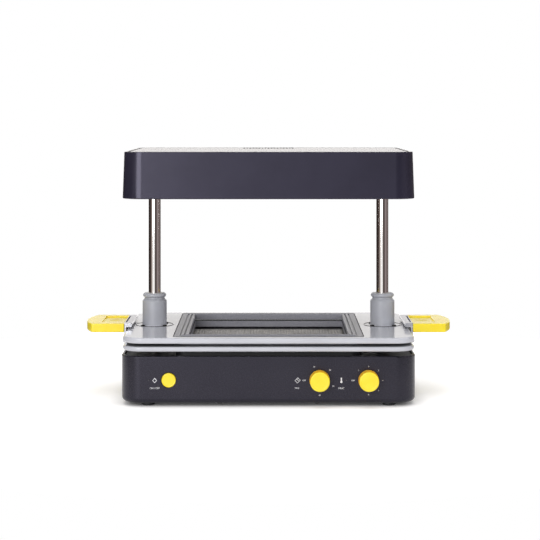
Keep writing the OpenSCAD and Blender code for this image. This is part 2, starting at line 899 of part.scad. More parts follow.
module button_spring() {
  low_y = front_y - button_out + button_len;
  high_y = front_in + switch_depth;
  color("#c8c8cc") translate([button_x, low_y + slip_gap, control_z]) rotate([-90, 0, 0])
    coil(spring_r, spring_wire_d, high_y - low_y - 2 * slip_gap, spring_turns);
}

module indicator_lights() {
  color("#7a2320") for (x = [left_led_x, right_led_x]) {
    y_rod(led_d / 2, x, control_z, front_y - led_out, front_in);
    y_rod(led_body_d / 2, x, control_z, front_in, front_in + led_body_len);
  }
}

// Places of the board's four fixings
module board_corners() {
  for (s = [-1, 1], t = [-1, 1])
    translate([board_x + s * (board_w / 2 - standoff_inset), board_y + t * (board_d / 2 - standoff_inset), 0])
      children();
}

module control_board() {
  top = floor_top + standoff_h + board_t;
  color("#1e6b3c") difference() {
    union() {
      translate([board_x - board_w / 2, board_y - board_d / 2, top - board_t])
        cube([board_w, board_d, board_t]);
      translate([-cable_x_end, -block_d / 2, top]) cube([block_w, block_d, block_h]);
    }
    board_corners() translate([0, 0, top - board_t - cut])
      cylinder(r = screw_bore_r, h = board_t + 2 * cut);
  }
}

module power_relay() {
  top = floor_top + standoff_h + board_t;
  color("#26408b") translate([board_x + relay_shift, board_y - relay_d / 2, top])
    cube([relay_w, relay_d, relay_h]);
}

module board_standoffs() {
  color("#d9c27a") board_corners() translate([0, 0, floor_top]) {
    cylinder(d = standoff_d, h = standoff_h, $fn = 6);
    cylinder(d = screw_d, h = standoff_h + board_t + screw_head_h);
    translate([0, 0, standoff_h + board_t]) cylinder(d = screw_head_d, h = screw_head_h);
  }
}

module transformer() {
  core_z = floor_top;
  color("#70604c") {
    translate([trafo_x - trafo_w / 2, trafo_y - trafo_d / 2, core_z]) cube([trafo_w, trafo_d, trafo_h]);
    translate([trafo_x - trafo_coil_w / 2, trafo_y - trafo_coil_d / 2, core_z + (trafo_h - trafo_coil_h) / 2])
      cube([trafo_coil_w, trafo_coil_d, trafo_coil_h]);
  }
}

module column_sockets() {
  color("#8a8a90") both_columns() translate([0, 0, floor_top]) difference() {
    union() {
      cylinder(d = socket_foot_d, h = socket_foot_t);
      cylinder(d = socket_d, h = socket_h);
    }
    translate([0, 0, socket_step]) cylinder(r = column_r + slip_gap, h = socket_h);
    translate([0, 0, socket_foot_t]) cylinder(d = socket_bore_d, h = socket_h);
    for (a = [0, 180]) rotate(a) translate([0, -socket_slot_w / 2, socket_slot_z])
      cube([socket_d, socket_slot_w, socket_slot_h]);
    four_round(socket_pcd) translate([0, 0, -cut]) cylinder(r = screw_bore_r, h = socket_foot_t + 2 * cut);
  }
}

module column(s) color("#c4c2c0") translate([s * column_x, 0, column_z]) difference() {
  cylinder(r = column_r, h = column_top - column_z);
  translate([0, 0, -cut]) cylinder(r = column_r - column_wall, h = column_top - column_z + 2 * cut);
}

module left_column() column(-1);

module right_column() column(1);

module heater_harness() {
  r = cable_d / 2;
  low_bend_z = cable_low_z + cable_bend;
  turn_x = cable_bend - column_x;
  color("#26262a") {
    translate([-column_x, 0, low_bend_z]) cylinder(r = r, h = column_top - low_bend_z);
    translate([turn_x, 0, low_bend_z]) rotate([90, 0, 0]) rotate([0, 0, 180])
      rotate_extrude(angle = 90) translate([cable_bend, 0]) circle(r);
    translate([turn_x, 0, column_top]) rotate([90, 0, 0]) rotate([0, 0, 90])
      rotate_extrude(angle = 90) translate([cable_bend, 0]) circle(r);
    x_rod(r, 0, cable_low_z, turn_x, -cable_x_end);
    x_rod(r, 0, cable_high_z, turn_x, -cable_x_end);
  }
}

// Profile of the head's side, drafted, with its roof edge and the ledge for its floor
module head_profile() {
  draft_at_ledge = head_draft * (head_seat_z - head_z) / head_h;
  polygon([
    [-head_edge, head_z], [0, head_z + head_edge], [-head_draft, head_top], [-plan_r, head_top],
    [-plan_r, head_top - head_wall], [-head_wall - head_draft, head_top - head_wall],
    [-head_wall - draft_at_ledge, head_seat_z], [-head_wall, head_z]
  ]);
  translate([-head_wall - head_ledge_w, head_seat_z]) square([head_ledge_w + head_wall / 2, head_ledge_t]);
}

// The drilled field of vent holes in the head's roof
module vents() {
  for (i = [0 : vent_cols - 1], j = [0 : vent_rows - 1])
    translate([(i - (vent_cols - 1) / 2) * vent_pitch, vent_y + (j - (vent_rows - 1) / 2) * vent_pitch, 0])
      cylinder(d = vent_d, h = head_wall + 2 * cut, $fn = 24);
}

module head_shell() {
  color("#44424a") difference() {
    union() {
      rim_sweep(head_w, head_d, plan_r) head_profile();
      translate([0, 0, head_top - head_wall]) linear_extrude(head_wall)
        square([head_w - 2 * plan_r, head_d - 2 * plan_r], center = true);
    }
    translate([0, 0, head_top - head_wall - cut]) vents();
    cover_screws(head_w, head_d, head_wall + head_ledge_w / 2) translate([0, 0, head_seat_z - cut])
      cylinder(r = screw_bore_r, h = head_ledge_t + 2 * cut);
    both_columns() translate([0, 0, head_seat_z - cut])
      cylinder(d = cup_foot_d + 2 * seat_gap, h = head_ledge_t + 2 * cut);
  }
}

module head_floor() {
  color("#9a9aa0") difference() {
    block(head_floor_w, head_floor_d, head_floor_r, head_floor_z, head_floor_t);
    translate([0, 0, head_floor_z - cut]) linear_extrude(head_floor_t + 2 * cut)
      square(window_w, center = true);
    both_columns() translate([0, 0, head_floor_z - cut]) {
      cylinder(d = cup_bore_d, h = head_floor_t + 2 * cut);
      four_round(cup_pcd) cylinder(r = screw_bore_r, h = head_floor_t + 2 * cut);
    }
    cover_screws(head_w, head_d, head_wall + head_ledge_w / 2) translate([0, 0, head_floor_z - cut])
      cylinder(r = screw_bore_r, h = head_floor_t + 2 * cut);
  }
}

module head_sockets() {
  color("#8a8a90") both_columns() translate([0, 0, head_seat_z]) difference() {
    union() {
      cylinder(d = cup_foot_d, h = cup_foot_t);
      cylinder(d = cup_d, h = cup_h);
      cylinder(d = boss_d, h = cup_h + boss_h);
    }
    translate([0, 0, -cut]) cylinder(d = cup_bore_d, h = cup_bore_h + cut);
    cylinder(d = catch_bore_d, h = cup_bore_h + catch_h);
    cylinder(r = column_r + slip_gap, h = cup_h + boss_h + cut);
    four_round(cup_pcd) translate([0, 0, -cut]) cylinder(r = screw_bore_r, h = cup_foot_t + 2 * cut);
  }
}

module catch_rings() {
  color("#c8c8cc") both_columns() translate([0, 0, catch_z])
    rotate_extrude(angle = catch_angle) translate([catch_ring_r, 0]) circle(d = catch_wire_d);
}

module head_screws() {
  color("#b8b8bc") {
    cover_screws(head_w, head_d, head_wall + head_ledge_w / 2) translate([0, 0, head_floor_z])
      cover_screw(head_floor_t + head_ledge_t);
    both_columns() four_round(cup_pcd) translate([0, 0, head_floor_z]) cover_screw(head_floor_t + cup_foot_t);
  }
}

// Places of the six heater elements
module element_places() {
  for (i = [0 : element_cols - 1], j = [0 : element_rows - 1]) translate([
    (i - (element_cols - 1) / 2) * (element_w + element_gap),
    (j - (element_rows - 1) / 2) * (element_d + element_gap), 0
  ]) children();
}

module reflector() {
  color("#d5d5d8") difference() {
    union() {
      translate([0, 0, head_seat_z]) linear_extrude(reflector_t)
        square(reflector_w + 2 * reflector_lip, center = true);
      translate([0, 0, head_seat_z]) linear_extrude(reflector_h) square(reflector_w, center = true);
    }
    translate([0, 0, head_seat_z - cut]) linear_extrude(reflector_h - reflector_t + cut)
      square(reflector_w - 2 * reflector_t, center = true);
    element_places() translate([0, 0, reflector_top - reflector_t - cut])
      cylinder(d = element_stem_d + 2 * pin_gap, h = reflector_t + 2 * cut);
  }
}

module insulation() {
  color("#e8e4d8") translate([0, 0, reflector_top]) linear_extrude(blanket_t) difference() {
    square(reflector_w, center = true);
    element_places() circle(d = element_stem_d + 2 * pin_gap);
  }
}

module heater_elements() {
  top = reflector_top - reflector_t - element_drop;
  color("#efece2") element_places() {
    difference() {
      translate([-element_w / 2, -element_d / 2, top - element_t]) cube([element_w, element_d, element_t]);
      x_rod(element_dish_r, 0, top - element_t + element_dish - element_dish_r,
            -element_w / 2 - cut, element_w / 2 + cut);
    }
    translate([0, 0, top - cut]) cylinder(d = element_stem_d, h = reflector_top + blanket_t - top + cut);
  }
}

module heater_guard() {
  cell = (guard_w - guard_bar) / guard_cells;
  opening = cell - guard_bar;
  color("#a8a8ac") translate([0, 0, head_floor_z - guard_t]) linear_extrude(guard_t) difference() {
    rounded(guard_w + 2 * head_wall, guard_w + 2 * head_wall, bed_edge_r);
    for (i = [0 : guard_cells - 1], j = [0 : guard_cells - 1])
      translate([(i - (guard_cells - 1) / 2) * cell, (j - (guard_cells - 1) / 2) * cell])
        square(opening, center = true);
  }
}

module terminal_block() {
  color("#efe9d8") difference() {
    translate([-cable_x_end, -terminal_d / 2, blanket_top]) cube([terminal_w, terminal_d, terminal_h]);
    for (j = [-1 : 1])
      translate([terminal_w / 2 - cable_x_end, j * terminal_d / 3, blanket_top + terminal_h / 2])
        cylinder(d = terminal_bore_d, h = terminal_h);
  }
}

module thermal_cutout() {
  color("#c0a060") translate([cutout_x, 0, blanket_top]) {
    translate([-cutout_lug_w / 2, -cutout_d / 4, 0]) cube([cutout_lug_w, cutout_d / 2, cutout_lug_t]);
    cylinder(d = cutout_d, h = cutout_h);
  }
}

// Section of a tray's rounded rim, from its corner centre out to its edge
module tray_profile(z, t) {
  r = tray_edge_r;
  translate([-plan_r, z]) square([plan_r - r, t]);
  translate([-r, z + r]) square([r, t - 2 * r]);
  for (y = [z + r, z + t - r]) translate([-r, y]) circle(r);
}

module tray_slab(z, t) {
  rim_sweep(tray_w, tray_d, plan_r) tray_profile(z, t);
  translate([0, 0, z]) linear_extrude(t) square([tray_w - 2 * plan_r, tray_d - 2 * plan_r], center = true);
}

// Knuckles of the lower tray that hold a hinge pin
module hinge_lugs() {
  near = latch_len / 2 + seat_gap;
  far = near + end_lug;
  for (span = [[-mid_lug / 2, mid_lug / 2], [near, far], [-far, -near]]) {
    y_rod(barrel_r, hinge_x, hinge_z, span[0], span[1]);
    translate([tray_w / 2 - lug_root, span[0], hinge_z - barrel_r])
      cube([hinge_out + lug_root, span[1] - span[0], 2 * barrel_r]);
  }
}

// The step in a tray that a gasket lies in
module gasket_seat_cut(z) {
  w = gasket_w + 2 * gasket_seam;
  block(w, w, gasket_corner_r + gasket_seam, z, gasket_seat + cut);
}

module lower_tray() {
  seat_z = lower_top - gasket_seat;
  bore = column_r + slip_gap + bush_wall + pin_gap;
  color("#c8c8cd") difference() {
    union() {
      tray_slab(lower_z, lower_t);
      hinge_lugs();
      mirror([1, 0, 0]) hinge_lugs();
    }
    translate([0, 0, lower_z - cut]) linear_extrude(lower_t + 2 * cut) square(tray_window, center = true);
    gasket_seat_cut(seat_z);
    both_columns() translate([0, 0, lower_z - cut]) {
      cylinder(r = bore, h = lower_t + 2 * cut);
      four_round(collar_pcd) cylinder(d = collar_screw_d + 2 * pin_gap, h = lower_t + 2 * cut);
    }
    for (s = [-1, 1])
      y_rod(hinge_pin_d / 2 + slip_gap, s * hinge_x, hinge_z, -latch_len, latch_len);
  }
}

// Section of a gasket: outer strip, groove, ridge, groove and the inner lip, from x = half side inwards
module gasket_profile(seat_z, top_z, lip_low, lip_top) {
  half = gasket_w / 2;
  ridge_out = half - strip_w - groove_w;
  ridge_in = ridge_out - ridge_w;
  lip_in = half - gasket_band;
  lip_out = lip_in + lip_w;
  polygon([
    [half, seat_z], [half, top_z], [half - strip_w, top_z], [half - strip_w, top_z - groove_depth],
    [ridge_out, top_z - groove_depth], [ridge_out, top_z + gasket_rise], [ridge_in, top_z + gasket_rise],
    [ridge_in, top_z - groove_depth], [lip_out, top_z - groove_depth], [lip_out, lip_top],
    [lip_in + lip_w / 3, lip_top], [lip_in, lip_top - lip_w / 3], [lip_in, lip_low],
    [lip_out - window_gap, lip_low], [lip_out - window_gap, seat_z]
  ]);
}

module gasket_ring(seat_z, top_z, lip_low, lip_top) {
  half = gasket_w / 2;
  high = max(lip_top, top_z + gasket_rise);
  color("#7f7f87") intersection() {
    mitre_ring(half + cut, lip_low - cut, high + cut) gasket_profile(seat_z, top_z, lip_low, lip_top);
    block(gasket_w, gasket_w, gasket_corner_r, lip_low, high - lip_low);
  }
}

// A gasket in the tray whose top is at tray_top; its inner lip hangs below its seat and rises above the tray
module gasket(tray_top, lip_drop, lip_rise) {
  seat_z = tray_top - gasket_seat;
  gasket_ring(seat_z, tray_top + slip_gap, seat_z - lip_drop, tray_top + lip_rise);
}

module lower_gasket() gasket(lower_top, lower_lip_drop, lower_lip_rise);

module upper_gasket() gasket(upper_top, upper_lip_drop, gasket_rise);

module upper_tray() {
  seat_z = upper_top - gasket_seat;
  color("#cfcfd3") difference() {
    tray_slab(upper_z, upper_t);
    translate([0, 0, upper_z - cut]) linear_extrude(upper_t + 2 * cut) square(tray_window, center = true);
    gasket_seat_cut(seat_z);
    both_columns() translate([0, 0, upper_z - cut])
      cylinder(d = collar_foot_d + 2 * tray_hole_gap, h = upper_t + 2 * cut);
  }
}

// A collar: foot disc on the lower tray, straight body, shoulder, neck and rounded rim
module collar(s) {
  r = collar_d / 2;
  body_top = collar_h;
  shoulder_top = body_top + shoulder_h;
  rim_low = shoulder_top + neck_h;
  top = rim_low + rim_h;
  foot_low = lower_top - upper_top;
  bush_r = column_r + slip_gap + bush_wall;
  bore_r = bush_r + slip_gap;
  color("#9b9ca3") translate([s * column_x, 0, upper_top]) difference() {
    rotate_extrude() difference() {
      union() {
        translate([0, foot_low]) square([collar_foot_d / 2, -foot_low]);
        translate([0, foot_low]) square([r, body_top - foot_low]);
        polygon([[0, 0], [r + collar_ring, 0], [r, collar_ring], [0, collar_ring]]);
        polygon([
          [0, body_top], [r, body_top], [r - shoulder_in, shoulder_top],
          [neck_d / 2, shoulder_top], [neck_d / 2, rim_low], [0, rim_low]
        ]);
        translate([0, rim_low]) square([rim_d / 2 - rim_h / 2, rim_h]);
        translate([rim_d / 2 - rim_h / 2, rim_low + rim_h / 2]) circle(rim_h / 2);
      }
      translate([0, foot_low - cut]) square([column_r + bush_wall / 2, top - foot_low + 2 * cut]);
      translate([0, foot_low - cut]) square([bore_r, bush_len + cut]);
      translate([0, top - bush_len]) square([bore_r, bush_len + cut]);
    }
    four_round(collar_pcd) {
      translate([0, 0, -collar_head_h])
        cylinder(d = collar_head_d + 2 * pin_gap, h = collar_head_h + collar_ring + cut);
      translate([0, 0, foot_low - cut]) cylinder(d = collar_screw_d + 2 * pin_gap, h = -foot_low + cut);
    }
  }
}

module left_collar() collar(-1);

module right_collar() collar(1);

module collar_bushes() {
  inner = column_r + slip_gap;
  color("#e8e6df") both_columns() for (z = [lower_top, collar_top - bush_len])
    translate([0, 0, z]) difference() {
      cylinder(r = inner + bush_wall, h = bush_len);
      translate([0, 0, -cut]) cylinder(r = inner, h = bush_len + 2 * cut);
    }
}

module collar_screws() {
  color("#6d6d72") both_columns() four_round(collar_pcd) {
    translate([0, 0, upper_top - collar_head_h]) difference() {
      cylinder(d = collar_head_d, h = collar_head_h);
      translate([0, 0, collar_head_h / 2]) cylinder(d = collar_screw_d / 2, h = collar_head_h, $fn = 6);
    }
    translate([0, 0, lower_z]) cylinder(d = collar_screw_d, h = upper_top - collar_head_h / 2 - lower_z);
  }
}

module hinge_pins() {
  half = latch_len / 2 + seat_gap + end_lug;
  color("#b0b0b4") for (s = [-1, 1]) y_rod(hinge_pin_d / 2, s * hinge_x, hinge_z, -half, half);
}

// The right latch: hinge barrels, upright plate and the arm that hooks over the upper tray
module latch_plate() {
  half = latch_len / 2;
  barrel_in = mid_lug / 2 + seat_gap;
  nose_x = plate_x - arm_reach + arm_t / 2;
  screw_z = grip_top - grip_screw_drop;
  color("#bcbcc2") difference() {
    union() {
      for (s = [-1, 1]) {
        y0 = s > 0 ? barrel_in : -half;
        y_rod(barrel_r, hinge_x, hinge_z, y0, y0 + half - barrel_in);
        translate([plate_x, y0, hinge_z]) cube([plate_t, half - barrel_in, arm_z - hinge_z]);
      }
      translate([plate_x, -half, lower_top + seat_gap])
        cube([plate_t, latch_len, arm_top - lower_top - seat_gap]);
      translate([nose_x, -half, arm_z]) cube([grip_x - nose_x, latch_len, arm_t]);
      y_rod(arm_t / 2, nose_x, arm_z + arm_t / 2, -half, half);
    }
    y_rod(hinge_pin_d / 2 + slip_gap, hinge_x, hinge_z, -latch_len, latch_len);
    translate([plate_x, -slot_len / 2, arm_top - slot_depth]) cube([slot_w, slot_len, slot_depth + cut]);
    for (s = [-1, 1]) {
      x_rod(screw_bore_r, s * grip_screw_y, screw_z, plate_x - cut, grip_x + cut);
      x_rod(screw_head_d / 2 + pin_gap, s * grip_screw_y, screw_z, plate_x - cut, plate_x + grip_head_h);
    }
  }
}

module right_latch_plate() latch_plate();

module left_latch_plate() mirror([1, 0, 0]) latch_plate();

// Plan of a grip: straight sides, large corners and a bulged end
module grip_outline() {
  reach = grip_reach - grip_corner_r;
  intersection() {
    union() {
      translate([-grip_edge_r, -grip_d / 2]) square([reach + grip_edge_r, grip_d]);
      translate([-grip_edge_r, grip_corner_r - grip_d / 2])
        square([grip_reach + grip_edge_r, grip_d - 2 * grip_corner_r]);
      for (s = [-1, 1])
        translate([reach, s * (grip_d / 2 - grip_corner_r)]) circle(grip_corner_r, $fn = grip_fn * 2);
    }
    translate([grip_reach - grip_end_r, 0]) circle(grip_end_r, $fn = grip_fn * 2);
  }
}

module grip() {
  low = grip_top - grip_t;
  color("#ffe135") translate([grip_x, 0, low]) difference() {
    intersection() {
      hull() for (i = [0 : grip_edge_steps]) {
        a = 90 * i / grip_edge_steps;
        inset = grip_edge_r * (1 - sin(a));
        rise = grip_edge_r * (1 - cos(a));
        translate([0, 0, rise]) linear_extrude(grip_t - 2 * rise) offset(delta = -inset) grip_outline();
      }
      translate([0, -grip_d, 0]) cube([grip_reach, 2 * grip_d, grip_t]);
    }
    translate([-cut, -recess_d / 2, grip_t - recess_depth])
      cube([recess_len + cut, recess_d, recess_depth + cut]);
    translate([dimple_x, 0, grip_t - recess_depth - dimple_depth + dimple_ball])
      sphere(dimple_ball, $fn = grip_fn * 3);
    for (s = [-1, 1])
      x_rod(screw_bore_r, s * grip_screw_y, grip_t - grip_screw_drop, -cut, grip_screw_len);
  }
}

module right_handle_grip() grip();

module left_handle_grip() mirror([1, 0, 0]) grip();

module grip_screws() {
  screw_z = grip_top - grip_screw_drop;
  color("#6d6d72") for (t = [-1, 1]) {
    x_rod(screw_head_d / 2, t * grip_screw_y, screw_z, plate_x, plate_x + grip_head_h);
    x_rod(screw_d / 2, t * grip_screw_y, screw_z, plate_x, grip_x + grip_screw_len - cut);
  }
}

module right_grip_screws() grip_screws();

module left_grip_screws() mirror([1, 0, 0]) grip_screws();

base_shell();
base_floor();
rubber_feet();
base_screws();
deck_plate();
column_grommets();
bed_pan();
bed_plate();
bed_seal();
vacuum_duct();
hose_port();
power_inlet();
inlet_pins();
vacuum_outlet();
switch_bezel();
rocker_switch();
timer_unit();
timer_shaft();
timer_knob();
heater_regulator();
heater_shaft();
heater_knob();
start_switch();
start_button();
button_spring();
indicator_lights();
control_board();
power_relay();
transformer();
board_standoffs();
column_sockets();
left_column();
right_column();
heater_harness();
head_shell();
head_floor();
head_sockets();
catch_rings();
reflector();
insulation();
heater_elements();
heater_guard();
terminal_block();
thermal_cutout();
head_screws();
lower_tray();
lower_gasket();
left_collar();
right_collar();
collar_bushes();
collar_screws();
hinge_pins();
upper_tray();
upper_gasket();
left_latch_plate();
right_latch_plate();
left_handle_grip();
right_handle_grip();
left_grip_screws();
right_grip_screws();
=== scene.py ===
import json
import math

import bmesh
import bpy
from mathutils import Matrix, Vector

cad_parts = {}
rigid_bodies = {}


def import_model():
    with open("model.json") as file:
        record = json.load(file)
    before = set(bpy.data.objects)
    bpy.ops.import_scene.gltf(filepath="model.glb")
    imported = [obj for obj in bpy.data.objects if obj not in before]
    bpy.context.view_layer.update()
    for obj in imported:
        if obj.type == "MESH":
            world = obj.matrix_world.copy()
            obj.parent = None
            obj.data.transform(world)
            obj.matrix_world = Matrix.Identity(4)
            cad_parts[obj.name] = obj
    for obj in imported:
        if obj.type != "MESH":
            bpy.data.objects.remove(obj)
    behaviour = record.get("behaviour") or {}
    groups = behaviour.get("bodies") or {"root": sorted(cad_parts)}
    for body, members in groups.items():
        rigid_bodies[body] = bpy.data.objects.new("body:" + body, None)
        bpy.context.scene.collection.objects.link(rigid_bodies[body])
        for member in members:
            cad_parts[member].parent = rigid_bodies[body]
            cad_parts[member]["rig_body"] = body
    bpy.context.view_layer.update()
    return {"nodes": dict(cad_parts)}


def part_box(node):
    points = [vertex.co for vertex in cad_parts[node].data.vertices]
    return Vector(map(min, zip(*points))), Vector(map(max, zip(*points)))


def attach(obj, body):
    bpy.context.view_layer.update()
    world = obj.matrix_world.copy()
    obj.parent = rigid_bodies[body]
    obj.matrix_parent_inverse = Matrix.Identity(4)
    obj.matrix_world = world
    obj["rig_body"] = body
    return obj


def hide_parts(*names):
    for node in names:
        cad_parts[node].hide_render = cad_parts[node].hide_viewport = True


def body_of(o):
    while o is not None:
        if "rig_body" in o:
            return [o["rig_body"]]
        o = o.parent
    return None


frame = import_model()

MM = 0.001


# Colour and node helpers

def srgb(code):
    """A sRGB hex colour as the linear RGBA that shaders take."""
    def linear(channel):
        value = channel / 255
        return value / 12.92 if value <= 0.04045 else ((value + 0.055) / 1.055) ** 2.4
    return tuple(linear(int(code[i:i + 2], 16)) for i in (1, 3, 5)) + (1.0,)


def add(tree, kind, settings=None, inputs=None, links=None):
    """Adds one node, with its properties, input values and incoming links."""
    node = tree.nodes.new(kind)
    for name, value in (settings or {}).items():
        setattr(node, name, value)
    for name, value in (inputs or {}).items():
        node.inputs[name].default_value = value
    for name, source in (links or {}).items():
        tree.links.new(source, node.inputs[name])
    return node


def new_material(name, colour, **shader):
    """A material with one Principled shader; returns the material, its tree and the shader."""
    material = bpy.data.materials.new(name)
    material.use_nodes = True
    tree = material.node_tree
    body = tree.nodes["Principled BSDF"]
    body.inputs["Base Color"].default_value = srgb(colour)
    for socket, value in shader.items():
        body.inputs[socket.replace("_", " ")].default_value = value
    return material, tree, body


def grain(tree, size_mm, detail=3.0, stretch=(1, 1, 1)):
    """Noise whose cells are about size_mm across on the real object."""
    place = add(tree, "ShaderNodeTexCoord")
    mapping = add(tree, "ShaderNodeMapping", inputs={"Scale": stretch},
                  links={"Vector": place.outputs["Object"]})
    return add(tree, "ShaderNodeTexNoise", inputs={"Scale": 1 / (size_mm * MM), "Detail": detail},
               links={"Vector": mapping.outputs["Vector"]})


def relief(tree, body, height, depth_mm):
    """Turns a height output into a bump of a real depth."""
    bump = add(tree, "ShaderNodeBump", inputs={"Distance": depth_mm * MM, "Strength": 1.0},
               links={"Height": height})
    tree.links.new(bump.outputs["Normal"], body.inputs["Normal"])


def vary_colour(tree, body, factor, dark, light):
    """Blends two close colours over a pattern, so the finish is not one flat colour."""
    ramp = add(tree, "ShaderNodeValToRGB", links={"Fac": factor})
    ramp.color_ramp.elements[0].position = 0.3
    ramp.color_ramp.elements[0].color = srgb(dark)
    ramp.color_ramp.elements[1].position = 0.7
    ramp.color_ramp.elements[1].color = srgb(light)
    tree.links.new(ramp.outputs["Color"], body.inputs["Base Color"])


def vary_roughness(tree, body, factor, low, high):
    """Spreads the roughness between two values over a pattern."""
    spread = add(tree, "ShaderNodeMapRange", inputs={"To Min": low, "To Max": high}, links={"Value": factor})
    tree.links.new(spread.outputs["Result"], body.inputs["Roughness"])


# Finishes

def powder_coated_steel(name, dark, light, rough=0.32):
    """Baked polyester powder coat on steel: satin, with a fine orange peel and a slightly violet gloss."""
    material, tree, body = new_material(name, light, Roughness=rough, IOR=1.45)
    peel = grain(tree, 0.7)
    cloud = grain(tree, 45, 2.0)
    vary_colour(tree, body, cloud.outputs["Fac"], dark, light)
    vary_roughness(tree, body, peel.outputs["Fac"], rough - 0.04, rough + 0.04)
    relief(tree, body, peel.outputs["Fac"], 0.012)
    body.inputs["Specular Tint"].default_value = srgb("#E4E0F8")
    return material


def grey_enamel():
    """Smooth stoving enamel on the cast trays: pale grey, glossy enough to mirror the collars."""
    material, tree, body = new_material("grey stoving enamel", "#C6C6CB", Roughness=0.1, IOR=1.5)
    peel = grain(tree, 1.2)
    cloud = grain(tree, 60, 2.0)
    vary_colour(tree, body, cloud.outputs["Fac"], "#C6C7CE", "#CFD0D7")
    vary_roughness(tree, body, peel.outputs["Fac"], 0.08, 0.13)
    relief(tree, body, peel.outputs["Fac"], 0.001)
    return material


def moulded_nylon(name, dark, light, rough=0.42, grain_mm=0.5):
    """Injection moulded glass filled nylon: matt, with a fine spark eroded grain."""
    material, tree, body = new_material(name, light, Roughness=rough, IOR=1.52)
    fine = grain(tree, grain_mm)
    cloud = grain(tree, 18, 2.0)
    vary_colour(tree, body, cloud.outputs["Fac"], dark, light)
    vary_roughness(tree, body, fine.outputs["Fac"], rough - 0.05, rough + 0.06)
    relief(tree, body, fine.outputs["Fac"], 0.01)
    return material


def silicone_rubber(name, dark, light, rough=0.55):
    """Compression moulded rubber: a soft sheen and faint mottling."""
    material, tree, body = new_material(name, light, Roughness=rough, IOR=1.45)
    mottle = grain(tree, 2.5, 4.0)
    fine = grain(tree, 0.4)
    vary_colour(tree, body, mottle.outputs["Fac"], dark, light)
    vary_roughness(tree, body, mottle.outputs["Fac"], rough - 0.05, rough + 0.06)
    relief(tree, body, fine.outputs["Fac"], 0.01)
    return material


def painted_shade_black():
    """Dead matt black that paints shade onto strips, linings and vent walls, so that they stay dark at a low
    angle.
    """
    material, tree, body = new_material("painted shade black", "#121214", Roughness=1.0)
    body.inputs["Specular IOR Level"].default_value = 0.05
    cells = grain(tree, 0.6, 3.0)
    vary_colour(tree, body, cells.outputs["Fac"], "#0E0E10", "#18181A")
    relief(tree, body, cells.outputs["Fac"], 0.02)
    return material


def yellow_abs():
    """Injection moulded ABS in a strong yellow: satin, a little light passes into the surface."""
    material, tree, body = new_material("yellow moulded ABS", "#FFE532", Roughness=0.26, IOR=1.53)
    body.inputs["Subsurface Weight"].default_value = 0.08
    body.inputs["Subsurface Radius"].default_value = (1.0, 0.55, 0.1)
    body.inputs["Subsurface Scale"].default_value = 0.6 * MM
    fine = grain(tree, 0.45)
    cloud = grain(tree, 14, 2.0)
    vary_colour(tree, body, cloud.outputs["Fac"], "#FFE22B", "#FFE93A")
    vary_roughness(tree, body, fine.outputs["Fac"], 0.22, 0.3)
    relief(tree, body, fine.outputs["Fac"], 0.003)
    return material


def yellow_abs_painted_sheen():
    """The same ABS on a knob's drafted skirt, painted warmer and brighter than the face: its orange colour
    and orange sheen are painted light, and light held in the thick wall adds a little warmth.
    """
    material, tree, body = new_material("yellow moulded ABS painted sheen", "#FFC82C", Roughness=0.5, IOR=1.4)
    body.inputs["Subsurface Weight"].default_value = 0.6
    body.inputs["Subsurface Radius"].default_value = (1.0, 0.6, 0.15)
    body.inputs["Subsurface Scale"].default_value = 5 * MM
    body.inputs["Sheen Weight"].default_value = 1.0
    body.inputs["Sheen Roughness"].default_value = 0.4
    body.inputs["Sheen Tint"].default_value = srgb("#FFB030")
    fine = grain(tree, 0.45)
    cloud = grain(tree, 14, 2.0)
    vary_colour(tree, body, cloud.outputs["Fac"], "#FFC022", "#FFCC32")
    relief(tree, body, fine.outputs["Fac"], 0.003)
    return material


def polished_stainless():
    """Centreless ground and polished stainless tube: a mirror with very faint rings round the tube."""
    material, tree, body = new_material("polished stainless steel", "#F2EEEC", Metallic=1.0, Roughness=0.05)
    rings = grain(tree, 0.35, 2.0, stretch=(0.02, 0.02, 1))
    vary_roughness(tree, body, rings.outputs["Fac"], 0.04, 0.08)
    return material


def milled_aluminium(name, dark, light, rough=0.28):
    """Extruded or rolled aluminium with fine die lines along its length."""
    material, tree, body = new_material(name, light, Metallic=1.0, Roughness=rough)
    lines = grain(tree, 0.3, 2.0, stretch=(1, 0.02, 1))
    vary_colour(tree, body, lines.outputs["Fac"], dark, light)
    vary_roughness(tree, body, lines.outputs["Fac"], rough - 0.06, rough + 0.08)
    relief(tree, body, lines.outputs["Fac"], 0.002)
    return material


def blasted_aluminium():
    """Bead blasted and anodised aluminium of the bed: a soft matt grey that hardly mirrors.

    The blasting is drawn at a quarter of a millimetre, coarser than it is, so that it shows.
    """
    material, tree, body = new_material("blasted aluminium", "#BEBBB7", Metallic=0.1, Roughness=0.5)
    blast = grain(tree, 0.25, 2.0)
    cloud = grain(tree, 30, 2.0)
    vary_colour(tree, body, cloud.outputs["Fac"], "#B6B3AF", "#C8C5C1")
    vary_roughness(tree, body, blast.outputs["Fac"], 0.44, 0.58)
    relief(tree, body, blast.outputs["Fac"], 0.006)
    return material


def rolled_sheet(name, dark, light, rough=0.36):
    """Rolled sheet metal with a soft spangle a few millimetres across."""
    material, tree, body = new_material(name, light, Metallic=1.0, Roughness=rough)
    place = add(tree, "ShaderNodeTexCoord")
    spangle = add(tree, "ShaderNodeTexVoronoi", inputs={"Scale": 1 / (5 * MM)},
                  links={"Vector": place.outputs["Object"]})
    grey = add(tree, "ShaderNodeRGBToBW", links={"Color": spangle.outputs["Color"]})
    vary_colour(tree, body, grey.outputs["Val"], dark, light)
    vary_roughness(tree, body, grey.outputs["Val"], rough - 0.08, rough + 0.1)
    return material


